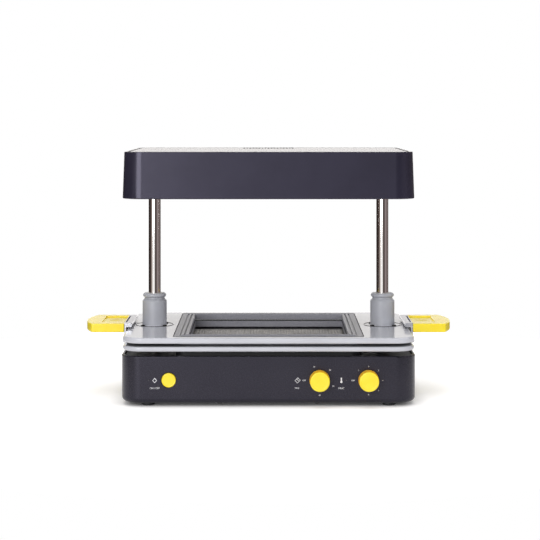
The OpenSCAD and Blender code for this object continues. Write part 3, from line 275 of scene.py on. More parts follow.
def plated_steel():
    """Zinc plated steel of screws and brackets: pale, slightly cloudy metal."""
    material, tree, body = new_material("zinc plated steel", "#B9BABF", Metallic=1.0, Roughness=0.3)
    cloud = grain(tree, 1.5, 3.0)
    vary_colour(tree, body, cloud.outputs["Fac"], "#AEAFB5", "#C4C5CA")
    vary_roughness(tree, body, cloud.outputs["Fac"], 0.24, 0.38)
    return material


def dark_screw_steel():
    """Blackened steel of the collars' and the floor's screws: dark, oily and slightly cloudy."""
    material, tree, body = new_material("blackened screw steel", "#3A3836", Metallic=1.0, Roughness=0.38)
    cloud = grain(tree, 1.2, 3.0)
    vary_colour(tree, body, cloud.outputs["Fac"], "#302E2D", "#464442")
    vary_roughness(tree, body, cloud.outputs["Fac"], 0.32, 0.46)
    return material


def glazed_ceramic():
    """Glazed ceramic heater tile: warm white, glossy, with small kiln specks."""
    material, tree, body = new_material("glazed ceramic", "#EDE9DE", Roughness=0.2, IOR=1.55)
    specks = grain(tree, 1.1, 5.0)
    vary_colour(tree, body, specks.outputs["Fac"], "#E4DFD2", "#F1EDE3")
    wave = grain(tree, 6, 1.0)
    relief(tree, body, wave.outputs["Fac"], 0.05)
    return material


def fibre_blanket():
    """Needled ceramic fibre blanket: matt, woolly, with loose fibres."""
    material, tree, body = new_material("ceramic fibre blanket", "#E8E4D9", Roughness=0.95)
    body.inputs["Sheen Weight"].default_value = 0.3
    fibres = grain(tree, 1.4, 8.0, stretch=(1, 0.25, 1))
    vary_colour(tree, body, fibres.outputs["Fac"], "#D9D4C6", "#F0EDE4")
    relief(tree, body, fibres.outputs["Fac"], 0.5)
    return material


def board_laminate():
    """Glass epoxy circuit board under a green solder mask, with its faint weave."""
    material, tree, body = new_material("green circuit board", "#1F6B3D", Roughness=0.3, IOR=1.5)
    place = add(tree, "ShaderNodeTexCoord")
    weave = add(tree, "ShaderNodeTexChecker",
                inputs={"Scale": 1 / (0.8 * MM), "Color1": srgb("#1C6438"), "Color2": srgb("#237243")},
                links={"Vector": place.outputs["Object"]})
    tree.links.new(weave.outputs["Color"], body.inputs["Base Color"])
    return material


def wound_core():
    """Laminated iron core: thin edges of sheet, half a millimetre each, under varnish."""
    material, tree, body = new_material("varnished iron laminations", "#6E5D49", Roughness=0.4, IOR=1.5)
    place = add(tree, "ShaderNodeTexCoord")
    leaves = add(tree, "ShaderNodeTexWave", {"bands_direction": "X"},
                 inputs={"Scale": 1 / (3 * MM), "Distortion": 0.3}, links={"Vector": place.outputs["Object"]})
    vary_colour(tree, body, leaves.outputs["Fac"], "#54452F", "#7C6A52")
    relief(tree, body, leaves.outputs["Fac"], 0.05)
    return material


def turned_brass():
    """Turned brass of standoffs and the cut-out's cap, slightly dulled."""
    material, tree, body = new_material("turned brass", "#C9A65A", Metallic=1.0, Roughness=0.3)
    dull = grain(tree, 2, 3.0)
    vary_colour(tree, body, dull.outputs["Fac"], "#B8924A", "#D3B36B")
    return material


def tinted_lens():
    """Smoked moulding of an indicator that is off: dark and glossy."""
    material, tree, body = new_material("smoked indicator lens", "#464449", Roughness=0.12, IOR=1.49)
    depth = grain(tree, 0.5, 2.0)
    vary_colour(tree, body, depth.outputs["Fac"], "#3E3C41", "#4E4C52")
    return material


def printed_ink():
    """Pad printed off-white ink: matt, with a thin and slightly uneven film."""
    material, tree, body = new_material("pad printed white ink", "#F0F0F2", Roughness=0.6)
    film = grain(tree, 0.3, 2.0)
    vary_colour(tree, body, film.outputs["Fac"], "#EAEAED", "#F4F4F6")
    return material


FINISH = {
    "base_coat": powder_coated_steel("charcoal powder coat", "#1B1A20", "#201F25", 0.27),
    "head_coat": powder_coated_steel("charcoal head powder coat", "#292734", "#2D2B39", 0.23),
    "deck_coat": powder_coated_steel("black powder coat", "#1E1E21", "#26262A"),
    "enamel": grey_enamel(),
    "collar": moulded_nylon("grey moulded nylon", "#A9AAB1", "#B2B4BB", 0.4),
    "gasket": silicone_rubber("grey silicone rubber", "#82828A", "#8E8E96", 0.36),
    "black_rubber": silicone_rubber("black rubber", "#17171A", "#222225"),
    # shade_ring_rubber: glossy black rubber of the painted shade rings in the collars' foot gaps
    "shade_ring_rubber": silicone_rubber("glossy shade ring rubber", "#1C1C20", "#28282C", 0.2),
    # painted_shade: dead matt black standing in for the shade in gaps, seams, vents and under the upper tray
    "painted_shade": painted_shade_black(),
    "yellow": yellow_abs(),
    # yellow_painted_sheen: the knob skirts' ABS with painted light, an orange colour and sheen
    "yellow_painted_sheen": yellow_abs_painted_sheen(),
    "stainless": polished_stainless(),
    "latch": milled_aluminium("die drawn aluminium", "#AEAFB5", "#BEBFC4"),
    "bed": blasted_aluminium(),
    "sheet": rolled_sheet("plain aluminium sheet", "#B5B6BA", "#C9CACE"),
    "plated": plated_steel(),
    "black_nylon": moulded_nylon("black moulded nylon", "#161618", "#202023", 0.45),
    "pale_nylon": moulded_nylon("natural moulded nylon", "#D2CFC4", "#DDDAD0", 0.4),
    "relay": moulded_nylon("blue relay case", "#22377C", "#2C4690", 0.3),
    "ceramic": glazed_ceramic(),
    "blanket": fibre_blanket(),
    "board": board_laminate(),
    "core": wound_core(),
    "brass": turned_brass(),
    "lens": tinted_lens(),
    "dark_screw": dark_screw_steel(),
    "ink": printed_ink(),
}

NODE_FINISH = {
    "base_coat": ["base_shell"],
    "head_coat": ["head_shell"],
    "deck_coat": ["deck_plate", "base_floor"],
    "enamel": ["lower_tray", "upper_tray"],
    "collar": ["left_collar", "right_collar"],
    "gasket": ["lower_gasket", "upper_gasket"],
    "black_rubber": ["rubber_feet", "column_grommets", "bed_seal", "heater_harness"],
    "yellow": ["timer_knob", "heater_knob", "start_button", "left_handle_grip", "right_handle_grip"],
    "stainless": ["left_column", "right_column"],
    "latch": ["left_latch_plate", "right_latch_plate"],
    "bed": ["bed_plate"],
    "sheet": ["bed_pan", "head_floor", "reflector"],
    "dark_screw": ["base_screws"],
    "plated": ["inlet_pins", "timer_shaft", "heater_shaft", "button_spring", "column_sockets",
               "head_sockets", "catch_rings", "heater_guard", "head_screws", "collar_screws",
               "hinge_pins", "left_grip_screws", "right_grip_screws"],
    "black_nylon": ["vacuum_duct", "hose_port", "power_inlet", "vacuum_outlet", "switch_bezel",
                    "rocker_switch"],
    "pale_nylon": ["timer_unit", "heater_regulator", "start_switch", "collar_bushes"],
    "relay": ["power_relay"],
    "ceramic": ["heater_elements", "terminal_block"],
    "blanket": ["insulation"],
    "board": ["control_board"],
    "core": ["transformer"],
    "brass": ["board_standoffs", "thermal_cutout"],
    "lens": ["indicator_lights"],
}


def dress_nodes():
    """Gives every CAD node its finish."""
    for finish, names in NODE_FINISH.items():
        for name in names:
            node = frame["nodes"][name]
            node.data.materials.clear()
            node.data.materials.append(FINISH[finish])


dress_nodes()

NODE_BODY = {name: body_of(node)[0] for name, node in frame["nodes"].items()}


# Building pieces

SHARP_ANGLE = 32
SAME = 0.01 * MM
LEVEL_SLACK = 0.1


def link_piece(name, mesh, finishes, like, replaced=()):
    """Makes a piece of a bmesh; it rides and is painted like a CAD node, and may stand for some nodes."""
    bmesh.ops.recalc_face_normals(mesh, faces=mesh.faces)
    for face in mesh.faces:
        face.smooth = True
    data = bpy.data.meshes.new(name)
    mesh.to_mesh(data)
    mesh.free()
    for finish in finishes:
        data.materials.append(FINISH[finish])
    piece = bpy.data.objects.new(name, data)
    bpy.context.scene.collection.objects.link(piece)
    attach(piece, NODE_BODY[like])
    if replaced:
        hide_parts(*replaced)
    return piece


def break_edges(piece, width_mm, segments=3, angle=SHARP_ANGLE):
    """Rounds the sharp edges that every moulded, pressed or turned part has a little of."""
    edges = piece.modifiers.new("broken edges", "BEVEL")
    edges.width = width_mm * MM
    edges.segments = segments
    edges.limit_method = "ANGLE"
    edges.angle_limit = math.radians(angle)
    edges.use_clamp_overlap = False
    shading = piece.modifiers.new("flat faces stay flat", "WEIGHTED_NORMAL")
    shading.weight = 80


def joined_mesh(node):
    """A CAD node's triangles, joined where they meet and with its flat faces made whole."""
    mesh = bmesh.new()
    mesh.from_mesh(frame["nodes"][node].data)
    bmesh.ops.remove_doubles(mesh, verts=mesh.verts, dist=0.002 * MM)
    bmesh.ops.dissolve_limit(mesh, angle_limit=math.radians(0.6), verts=mesh.verts, edges=mesh.edges)
    return mesh


def refined(node, finish, width_mm, angle=SHARP_ANGLE):
    """The same shape as a CAD node, with its edges rounded and its curves smooth."""
    piece = link_piece(node + "_finished", joined_mesh(node), [finish], node, [node])
    break_edges(piece, width_mm, angle=angle)


def turned(outline_mm, steps=128):
    """Spins a closed outline of radius and height, in mm, round the Z axis."""
    mesh = bmesh.new()
    points = [mesh.verts.new((radius * MM, 0, height * MM)) for radius, height in outline_mm]
    runs = [mesh.edges.new((points[i - 1], points[i])) for i in range(len(points))]
    bmesh.ops.spin(mesh, geom=points + runs, axis=(0, 0, 1), cent=(0, 0, 0), steps=steps, angle=2 * math.pi,
                   use_merge=True)
    bmesh.ops.remove_doubles(mesh, verts=mesh.verts, dist=0.001 * MM)
    return mesh


def arc(radius, height, bend, start, stop, count=6):
    """Points of a rounded edge in an outline, in mm and degrees."""
    turns = [math.radians(start + (stop - start) * i / count) for i in range(count + 1)]
    return [(radius + bend * math.cos(t), height + bend * math.sin(t)) for t in turns]


def thicken(mesh, height_mm):
    """Raises flat faces into thin solids."""
    grown = bmesh.ops.extrude_face_region(mesh, geom=mesh.faces[:])["geom"]
    top = [item for item in grown if isinstance(item, bmesh.types.BMVert)]
    bmesh.ops.translate(mesh, vec=(0, 0, height_mm * MM), verts=top)


def flat_shape(points_mm):
    """A flat filled shape."""
    mesh = bmesh.new()
    mesh.faces.new([mesh.verts.new((x * MM, y * MM, 0)) for x, y in points_mm])
    return mesh


def flat_ring(outer_mm, inner_mm):
    """A flat outline of even width between two loops of the same count."""
    mesh = bmesh.new()
    loops = []
    for points in (outer_mm, inner_mm):
        verts = [mesh.verts.new((x * MM, y * MM, 0)) for x, y in points]
        loops += [mesh.edges.new((verts[i - 1], verts[i])) for i in range(len(verts))]
    bmesh.ops.bridge_loops(mesh, edges=loops)
    return mesh


def circle_points(x, y, radius, count=24):
    """Points round a circle."""
    turns = [2 * math.pi * i / count for i in range(count)]
    return [(x + radius * math.cos(t), y + radius * math.sin(t)) for t in turns]


def rounded_rectangle(half_x, half_y, radius, count=8):
    """Points round a rectangle with round corners, in mm, from its middle."""
    points = []
    for quarter, (side_x, side_y) in enumerate(((1, 1), (-1, 1), (-1, -1), (1, -1))):
        for step in range(count + 1):
            turn = math.radians(90 * quarter + 90 * step / count)
            points.append((side_x * (half_x - radius) + radius * math.cos(turn),
                           side_y * (half_y - radius) + radius * math.sin(turn)))
    return points


def seam_shade_strip(name, half_x, half_y, radius, width, low_mm, thick_mm, like):
    """A thin strip of dead matt black along a seam that follows a rounded rectangle: painted shade of the
    seam.
    """
    outer = rounded_rectangle(half_x, half_y, radius)
    inner = rounded_rectangle(half_x - width, half_y - width, radius - width)
    mesh = flat_ring(outer, inner)
    bmesh.ops.translate(mesh, vec=(0, 0, low_mm * MM), verts=mesh.verts)
    thicken(mesh, thick_mm)
    link_piece(name, mesh, ["painted_shade"], like)


# Places that several pieces share: FRONT is the front panel in metres, the others are in mm

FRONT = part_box("base_shell")[0].y
CONTROL_Z = 32.5
TIMER_X = 62.4
HEATER_X = 122.2
BUTTON_X = -121.9
COLUMN_X = 148.0
TRAY_TOP = 83.8


def out_of_panel(mesh, x_mm, z_mm):
    """Lays a turned shape on the front panel, its height standing out of it."""
    place = Vector((x_mm * MM, FRONT, z_mm * MM))
    turn = Matrix.Translation(place) @ Matrix.Rotation(math.radians(90), 4, "X")
    bmesh.ops.transform(mesh, matrix=turn, verts=mesh.verts)
    return mesh


# Housing, feet, rear fittings and the heater, with the radius of their broken edges

refined("base_shell", "base_coat", 0.5)
refined("deck_plate", "deck_coat", 0.3)
refined("column_grommets", "black_rubber", 0.3)
refined("rubber_feet", "black_rubber", 0.5)
refined("bed_seal", "black_rubber", 0.4)
refined("hose_port", "black_nylon", 0.5)
refined("power_inlet", "black_nylon", 0.4)
refined("vacuum_outlet", "black_nylon", 0.4)
refined("switch_bezel", "black_nylon", 0.4)
refined("rocker_switch", "black_nylon", 0.4)
refined("head_floor", "sheet", 0.25)
refined("head_sockets", "plated", 0.3)
refined("heater_elements", "ceramic", 0.8)
refined("heater_guard", "plated", 0.25)


# Head

HEAD_EDGE = 0.6
HEAD_SEAM_IN = 6.2
HEAD_SEAM_R = 19
HEAD_SEAM_W = 2.6
VENT_COLUMNS = 17
VENT_ROWS = 7
VENT_PITCH = 4.09
VENT_Y = 87.0
VENT_EDGE = 0.08
# Painted shade strips along the columns of vent holes
VENT_SHADE_END = 9.0
VENT_SHADE_HALF_W = 1.05
VENT_SHADE_FROM_HOLE = 0.8
STRIP_LIFT = 0.01
STRIP_T = 0.05


def make_head():
    """The powder coated head: soft outer edges, and vent holes with crisp mouths, their walls in dead matt
    black as painted shade.
    """
    mesh = joined_mesh("head_shell")
    reach_x = (VENT_COLUMNS / 2 + 0.5) * VENT_PITCH * MM
    reach_y = (VENT_ROWS / 2 + 0.5) * VENT_PITCH * MM

    def in_vents(point):
        return abs(point.x) < reach_x and abs(point.y - VENT_Y * MM) < reach_y

    sharp = [edge for edge in mesh.edges if edge.is_manifold and not in_vents(edge.verts[0].co)
             and edge.calc_face_angle() > math.radians(SHARP_ANGLE)]
    bmesh.ops.bevel(mesh, geom=sharp, offset=HEAD_EDGE * MM, offset_type="OFFSET", segments=3, profile=0.5,
                    affect="EDGES", material=-1, clamp_overlap=False)
    # painted shade: the walls of the vent holes get the dead matt black
    for face in mesh.faces:
        if in_vents(face.calc_center_median()) and abs(face.normal.z) < 0.5:
            face.material_index = 1
    piece = link_piece("head_shell_finished", mesh, ["head_coat", "painted_shade"], "head_shell", ["head_shell"])
    break_edges(piece, VENT_EDGE, 1)


def make_vent_shade_strips():
    """A painted shade strip of dead matt black along each column of vent holes, laid on the top between the
    holes, seen from the front as a row of dots.
    """
    mesh = bmesh.new()
    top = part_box("head_shell")[1].z + 2 * STRIP_LIFT * MM
    holes = [VENT_Y + (row - (VENT_ROWS - 1) / 2) * VENT_PITCH for row in range(VENT_ROWS)]
    ends = [holes[0] - VENT_SHADE_END] + holes + [holes[-1] + VENT_SHADE_END]
    for column in range(VENT_COLUMNS):
        x = (column - (VENT_COLUMNS - 1) / 2) * VENT_PITCH
        left = x - VENT_SHADE_HALF_W
        right = x + VENT_SHADE_HALF_W
        for near, far in zip(ends, ends[1:]):
            front = near + VENT_SHADE_FROM_HOLE
            back = far - VENT_SHADE_FROM_HOLE
            corners = ((left, front), (right, front), (right, back), (left, back))
            mesh.faces.new([mesh.verts.new((a * MM, b * MM, top)) for a, b in corners])
    thicken(mesh, STRIP_T - STRIP_LIFT)
    link_piece("head_vent_shade_strips", mesh, ["painted_shade"], "head_shell")


def make_head_seam():
    """Painted shade: a dead matt black strip along the seam round the head's top panel."""
    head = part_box("head_shell")[1] / MM
    seam_shade_strip("head_panel_seam_shade", head.x - HEAD_SEAM_IN, head.y - HEAD_SEAM_IN, HEAD_SEAM_R, HEAD_SEAM_W,
               head.z + STRIP_LIFT, STRIP_T, "head_shell")


make_head()
make_vent_shade_strips()
make_head_seam()


# Trays and latches

TRAY_EDGE = 0.35


def make_upper_tray():
    """The upper tray, enamelled, with its underside in dead matt black: painted shade that keeps the gap
    under it dark.
    """
    mesh = joined_mesh("upper_tray")
    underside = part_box("upper_tray")[0].z + LEVEL_SLACK * MM
    # painted shade: the tray's underside faces get the dead matt black
    for face in mesh.faces:
        if face.normal.z < -0.9 and face.calc_center_median().z < underside:
            face.material_index = 1
    piece = link_piece("upper_tray_finished", mesh, ["enamel", "painted_shade"], "upper_tray", ["upper_tray"])
    break_edges(piece, TRAY_EDGE)


refined("lower_tray", "enamel", TRAY_EDGE)
make_upper_tray()
for side in ("left", "right"):
    refined(side + "_latch_plate", "latch", TRAY_EDGE)
    refined(side + "_handle_grip", "yellow", 0.5, angle=40)


# Gaskets

GASKET_BAND = 17.5
GASKET_EDGE = 0.25
GASKET_TOP_ROUND = 1.1
GASKET_LIP_ROUND = 0.5
GASKET_MEETING_ROUND = 1.2
GASKET_BAR_LENGTH = 20
GASKET_SHADE_W = 1.6
GASKET_SHADE_H = 1.2
GASKET_SEAM_OUT = 0.7
GASKET_SEAM_R = 4.7
GASKET_SEAM_W = 0.8
GASKET_SEAM_LIFT = 0.07
GASKET_SEAM_T = 0.18


def make_gasket(node):
    """A rubber gasket with round beads for its ridge and lip, and painted shade in dead matt black where the
    two lips meet.
    """
    mesh = joined_mesh(node)
    low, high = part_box(node)
    lip = high.x - GASKET_BAND * MM

    def bars(chosen):
        """The long, level, sharp edges that a rule on how far out and how high they are picks."""
        found = []
        for edge in mesh.edges:
            start, end = (vert.co for vert in edge.verts)
            middle = (start + end) / 2
            level = abs(start.z - end.z) < SAME and edge.calc_length() > GASKET_BAR_LENGTH * MM
            if level and edge.calc_face_angle(0) > math.radians(30):
                if chosen(max(abs(middle.x), abs(middle.y)), middle.z):
                    found.append(edge)
        return found

    def round_over(edges, radius_mm):
        """Rounds the edges with a few segments."""
        bmesh.ops.bevel(mesh, geom=edges, affect="EDGES", offset=radius_mm * MM, segments=4, profile=0.5,
                        material=-1)

    round_over(bars(lambda out, z: abs(z - high.z) < SAME), GASKET_TOP_ROUND)
    round_over(bars(lambda out, z: abs(out - lip) < SAME and z > low.z + 1 * MM), GASKET_LIP_ROUND)
    meeting = high.z if node == "lower_gasket" else low.z
    if node == "upper_gasket":
        round_over(bars(lambda out, z: abs(out - lip) < SAME and z < low.z + SAME), GASKET_MEETING_ROUND)
    # painted shade: faces near where the two lips meet get the dead matt black
    for face in mesh.faces:
        middle = face.calc_center_median()
        on_lip = max(abs(middle.x), abs(middle.y)) < lip + GASKET_SHADE_W * MM
        if on_lip and abs(middle.z - meeting) < GASKET_SHADE_H * MM and abs(face.normal.z) > 0.2:
            face.material_index = 1
    break_edges(link_piece(node + "_finished", mesh, ["gasket", "painted_shade"], node, [node]), GASKET_EDGE)


def make_gasket_seam():
    """Painted shade: a dead matt black strip along the dark line between the upper gasket and its tray."""
    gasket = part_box("upper_gasket")[1] / MM
    seam_shade_strip("gasket_seam", gasket.x + GASKET_SEAM_OUT, gasket.y + GASKET_SEAM_OUT, GASKET_SEAM_R,
               GASKET_SEAM_W, TRAY_TOP + GASKET_SEAM_LIFT, GASKET_SEAM_T, "upper_gasket")


make_gasket("lower_gasket")
make_gasket("upper_gasket")
make_gasket_seam()


# Collars, with the painted shade rings and screws of their foot discs

COLLAR_R = 15.65
FOOT_R = 24.2
FOOT_FROM_BODY = 0.6
SHADE_RING_DEPTH = 2
SHADE_RING_HALF_W = 0.45
SHADE_RING_PROUD = 0.45
SHADE_RING_REST = 0.03
SCREW_CIRCLE_R = 20.0
SCREW_R = 2
SCREW_HEAD_R = 2.8
SCREW_NECK_R = 2.7
SCREW_NECK_Z = -1.9
SCREW_HEAD_Z = 0.05
SCREW_HEAD_ROUND = 0.7
SCREW_ROUND_Z = 0.6
SOCKET_R = 1.2
SOCKET_RIM = 1.35
SOCKET_FLOOR = 0.5


def make_collar(node, x_mm):
    """A sliding collar: nylon body with a rounded rim, on a foot disc enamelled like the tray."""
    mesh = joined_mesh(node)
    foot_top = (TRAY_TOP + LEVEL_SLACK) * MM
    for face in mesh.faces:
        inner = min(math.hypot(vert.co.x - x_mm * MM, vert.co.y) for vert in face.verts)
        if inner > (COLLAR_R + FOOT_FROM_BODY) * MM and face.calc_center_median().z < foot_top:
            face.material_index = 1
    break_edges(link_piece(node + "_finished", mesh, ["collar", "enamel"], node, [node]), TRAY_EDGE)


def make_foot_shade_ring(name, x_mm):
    """A black rubber ring set in the gap between a collar's foot disc and the upper tray's hole: painted
    shade that keeps the gap's outline dark.
    """
    middle = FOOT_R + 0.05
    inside = middle - SHADE_RING_HALF_W
    outside = middle + SHADE_RING_HALF_W
    shoulder = SHADE_RING_HALF_W * 2 / 3
    outline = [(middle, -SHADE_RING_DEPTH), (outside, -SHADE_RING_DEPTH), (outside, SHADE_RING_PROUD / 3),
               (middle + shoulder, SHADE_RING_PROUD * 0.8), (middle, SHADE_RING_PROUD),
               (middle - shoulder, SHADE_RING_PROUD * 0.8), (inside, SHADE_RING_PROUD / 3), (inside, SHADE_RING_REST),
               (middle, SHADE_RING_REST)]
    mesh = turned(outline, 96)
    bmesh.ops.translate(mesh, vec=(x_mm * MM, 0, TRAY_TOP * MM), verts=mesh.verts)
    link_piece(name, mesh, ["shade_ring_rubber"], "lower_gasket")


def make_collar_screws():
    """Four button head screws round each collar, each head standing proud of the foot disc."""
    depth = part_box("collar_screws")[0].z / MM - TRAY_TOP
    outline = [(0, depth), (SCREW_R, depth), (SCREW_R, SCREW_NECK_Z), (SCREW_NECK_R, SCREW_NECK_Z),
               (SCREW_NECK_R, SCREW_HEAD_Z), (SCREW_HEAD_R, SCREW_HEAD_Z)]
    outline += arc(SCREW_HEAD_R - SCREW_HEAD_ROUND, SCREW_ROUND_Z, SCREW_HEAD_ROUND, 0, 80, 4)
    outline += [(SOCKET_R + 0.1, SOCKET_RIM), (SOCKET_R, SOCKET_FLOOR), (0, SOCKET_FLOOR)]
    mesh = bmesh.new()
    for x_mm in (-COLUMN_X, COLUMN_X):
        for corner in range(4):
            turn = math.radians(45 + 90 * corner)
            one = turned(outline, 24)
            place = (x_mm + SCREW_CIRCLE_R * math.cos(turn), SCREW_CIRCLE_R * math.sin(turn), TRAY_TOP)
            bmesh.ops.translate(one, vec=Vector(place) * MM, verts=one.verts)
            data = bpy.data.meshes.new("screw")
            one.to_mesh(data)
            one.free()
            mesh.from_mesh(data)
    link_piece("collar_screws_finished", mesh, ["dark_screw"], "collar_screws", ["collar_screws"])


make_collar("left_collar", -COLUMN_X)
make_collar("right_collar", COLUMN_X)
make_foot_shade_ring("left_foot_shade_ring", -COLUMN_X)
make_foot_shade_ring("right_foot_shade_ring", COLUMN_X)
make_collar_screws()


# Columns

COLUMN_WALL = 1.5
COLUMN_CHAMFER = 0.3


def make_column(node, x_mm):
    """A polished tube with its ends' edges broken."""
    low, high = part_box(node)
    outer = (high.x - low.x) / 2 / MM
    bore = outer - COLUMN_WALL
    bottom = low.z / MM
    top = high.z / MM
    outline = [(bore, bottom + COLUMN_CHAMFER), (bore + COLUMN_CHAMFER, bottom),
               (outer - COLUMN_CHAMFER, bottom), (outer, bottom + COLUMN_CHAMFER),
               (outer, top - COLUMN_CHAMFER), (outer - COLUMN_CHAMFER, top),
               (bore + COLUMN_CHAMFER, top), (bore, top - COLUMN_CHAMFER)]
    mesh = turned(outline, 160)
    bmesh.ops.translate(mesh, vec=(x_mm * MM, 0, 0), verts=mesh.verts)
    break_edges(link_piece(node + "_tube", mesh, ["stainless"], node, [node]), 0.1)


make_column("left_column", -COLUMN_X)
make_column("right_column", COLUMN_X)


# Knobs and start button

CONTROL_EDGE = 0.12
KNOB_R = 12.5
KNOB_TOP_R = 12.0
KNOB_FOOT = 0.6
KNOB_TOP = 15.0
KNOB_RIM = 1.2
KNOB_RIM_R = 9.75
KNOB_FACE_R = 9.1
KNOB_FACE = 14.65
SKIRT_FROM_R = 11.9
SKIRT_TO = 13.9
KNOB_HOLLOW_R = 10.0
KNOB_HOLLOW = 5.6
KNOB_BORE_R = 3.05
KNOB_BORE = 12.0
BUTTON_PROUD = 1.5
BUTTON_RIM = 0.8
BUTTON_SKIRT = -9.0
STEM_R = 3.0
STEM_END = -24.0


def make_knob(node, x_mm):
    """A round knob with a drafted skirt in the orange painted sheen finish, a rounded rim ring and a face set
    slightly back.
    """
    outline = [(KNOB_HOLLOW_R, KNOB_FOOT), (KNOB_R - 0.05, KNOB_FOOT), (KNOB_R, KNOB_FOOT + 0.1)]
    outline += arc(KNOB_TOP_R - KNOB_RIM, KNOB_TOP - KNOB_RIM, KNOB_RIM, 5, 90)
    outline += [(KNOB_RIM_R, KNOB_TOP), (KNOB_RIM_R - 0.3, KNOB_FACE + 0.07), (KNOB_FACE_R, KNOB_FACE)]
    outline += [(0, KNOB_FACE)]
    outline += [(0, KNOB_BORE), (KNOB_BORE_R, KNOB_BORE)]
    outline += [(KNOB_BORE_R, KNOB_HOLLOW), (KNOB_HOLLOW_R, KNOB_HOLLOW)]
    mesh = out_of_panel(turned(outline), x_mm, CONTROL_Z)
    middle = Vector((x_mm * MM, FRONT, CONTROL_Z * MM))
    # painted light: the skirt's faces get the orange painted sheen finish
    for face in mesh.faces:
        reach = face.calc_center_median() - middle
        if math.hypot(reach.x, reach.z) > SKIRT_FROM_R * MM and reach.y > -SKIRT_TO * MM:
            face.material_index = 1
    break_edges(link_piece(node + "_cap", mesh, ["yellow", "yellow_painted_sheen"], node, [node]), CONTROL_EDGE, 2)


def make_button():
    """The start button: a cap with a rounded rim round a flat face, on the stem that works the switch."""
    low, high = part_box("start_button")
    radius = (high.x - low.x) / 2 / MM
    face = BUTTON_PROUD - 0.25
    outline = [(0, face), (radius - 2 * BUTTON_RIM, face), (radius - 1.35, BUTTON_PROUD - 0.05)]
    outline += arc(radius - BUTTON_RIM, BUTTON_PROUD - BUTTON_RIM, BUTTON_RIM, 125, 0)
    outline += [(radius, BUTTON_SKIRT), (STEM_R, BUTTON_SKIRT), (STEM_R, STEM_END), (0, STEM_END)]
    mesh = out_of_panel(turned(outline), BUTTON_X, CONTROL_Z)
    piece = link_piece("start_button_cap", mesh, ["yellow"], "start_button", ["start_button"])
    break_edges(piece, CONTROL_EDGE, 2)


make_knob("timer_knob", TIMER_X)
make_knob("heater_knob", HEATER_X)
make_button()


# Forming bed

BED_FIELD = 96 * MM
BED_PITCH = 4 * MM
BED_WEB_HALF = 0.62 * MM
BED_HOLE_CORNER = 0.7 * MM


def make_bed():
    """The plate is one grid of cells; every cell's middle is inset, opened and rounded into a hole."""
    low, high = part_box("bed_plate")
    across = round(2 * BED_FIELD / BED_PITCH)
    mesh = bmesh.new()
    bmesh.ops.create_grid(mesh, x_segments=across, y_segments=across, size=BED_FIELD)
    bmesh.ops.translate(mesh, vec=(0, 0, high.z), verts=mesh.verts)
    rim = [edge for edge in mesh.edges if edge.is_boundary]
    grown = bmesh.ops.extrude_edge_only(mesh, edges=rim)["geom"]
    moved = [item for item in grown if isinstance(item, bmesh.types.BMVert)]
    bmesh.ops.scale(mesh, vec=(high.x / BED_FIELD, high.y / BED_FIELD, 1), verts=moved)
    cells = [face for face in mesh.faces if max(abs(face.calc_center_median().x),
                                                abs(face.calc_center_median().y)) < BED_FIELD]
    bmesh.ops.inset_individual(mesh, faces=cells, thickness=BED_WEB_HALF, use_even_offset=True)
    corners = {vert for face in cells for vert in face.verts}
    bmesh.ops.delete(mesh, geom=cells, context="FACES_ONLY")
    bmesh.ops.bevel(mesh, geom=list(corners), affect="VERTICES", offset=BED_HOLE_CORNER, segments=1,
                    profile=0.5, material=-1)
    plate = link_piece("forming_bed", mesh, ["bed"], "bed_plate", ["bed_plate"])
    sheet = plate.modifiers.new("plate thickness", "SOLIDIFY")
    sheet.thickness = high.z - low.z
    sheet.offset = -1


make_bed()


# Printed markings on the front panel

INK_T = 0.03
PRINT_Z = CONTROL_Z - 0.4
LABEL_Z = CONTROL_Z - 9.9
SWITCH_MARK_X = -139.0
TIMER_MARK_X = 35.6
HEAT_MARK_X = 89.0
OFF_OUT = 18.9
DIAL_LETTER = 1.7
CAPITAL_SHARE = 0.7
SWITCH_MARK = ([(2.9, 0), (0, 3.1), (-2.9, 0), (0, -3.1)], [(2.1, 0), (0, 2.25), (-2.1, 0), (0, -2.25)])
TIMER_MARK = ([(-3.6, -0.4), (0.2, 3.4), (3.5, 0.1), (-0.3, -3.7)],
              [(-2.9, -0.4), (0.2, 2.7), (2.8, 0.1), (-0.3, -3.0)])
TIMER_MARK_BAR = [(-1.2, 1.9), (-1.6, 1.5), (1.2, -1.3), (1.6, -0.9)]
HEAT_MARK_TUBE = [(0.75, 3.1), (-0.75, 3.1), (-0.75, -1.2), (0.75, -1.2)]
HEAT_MARK_BULB_Z = -2.1
HEAT_MARK_BULB_R = 1.35


def letters(words, height_mm):
    """Words as a flat mesh, centred."""
    curve = bpy.data.curves.new("words", "FONT")
    curve.body = words
    curve.size = height_mm * MM / CAPITAL_SHARE
    curve.align_x = "CENTER"
    curve.align_y = "CENTER"
    curve.resolution_u = 4
    holder = bpy.data.objects.new("words", curve)
    bpy.context.scene.collection.objects.link(holder)
    bpy.context.view_layer.update()
    data = bpy.data.meshes.new_from_object(holder)
    bpy.data.objects.remove(holder)
    mesh = bmesh.new()
    mesh.from_mesh(data)
    return mesh


def print_on_panel(sheet, shape, x_mm, z_mm):
    """Adds a flat shape to the sheet of markings, on the panel at x and z."""
    place = Matrix.Translation(Vector((x_mm * MM, FRONT - INK_T * MM, z_mm * MM)))
    bmesh.ops.transform(shape, matrix=place @ Matrix.Rotation(math.radians(90), 4, "X"), verts=shape.verts)
    data = bpy.data.meshes.new("mark")
    shape.to_mesh(data)
    shape.free()
    sheet.from_mesh(data)


def print_dial(sheet, x_mm, words, step, radius_mm):
    """A dial's scale: OFF at nine o'clock, then a number every step degrees clockwise."""
    print_on_panel(sheet, letters("OFF", DIAL_LETTER), x_mm - OFF_OUT, PRINT_Z)
    for count, word in enumerate(words, 1):
        turn = math.radians(180 - step * count)
        across = x_mm + radius_mm * math.cos(turn)
        print_on_panel(sheet, letters(word, DIAL_LETTER), across, PRINT_Z + radius_mm * math.sin(turn))


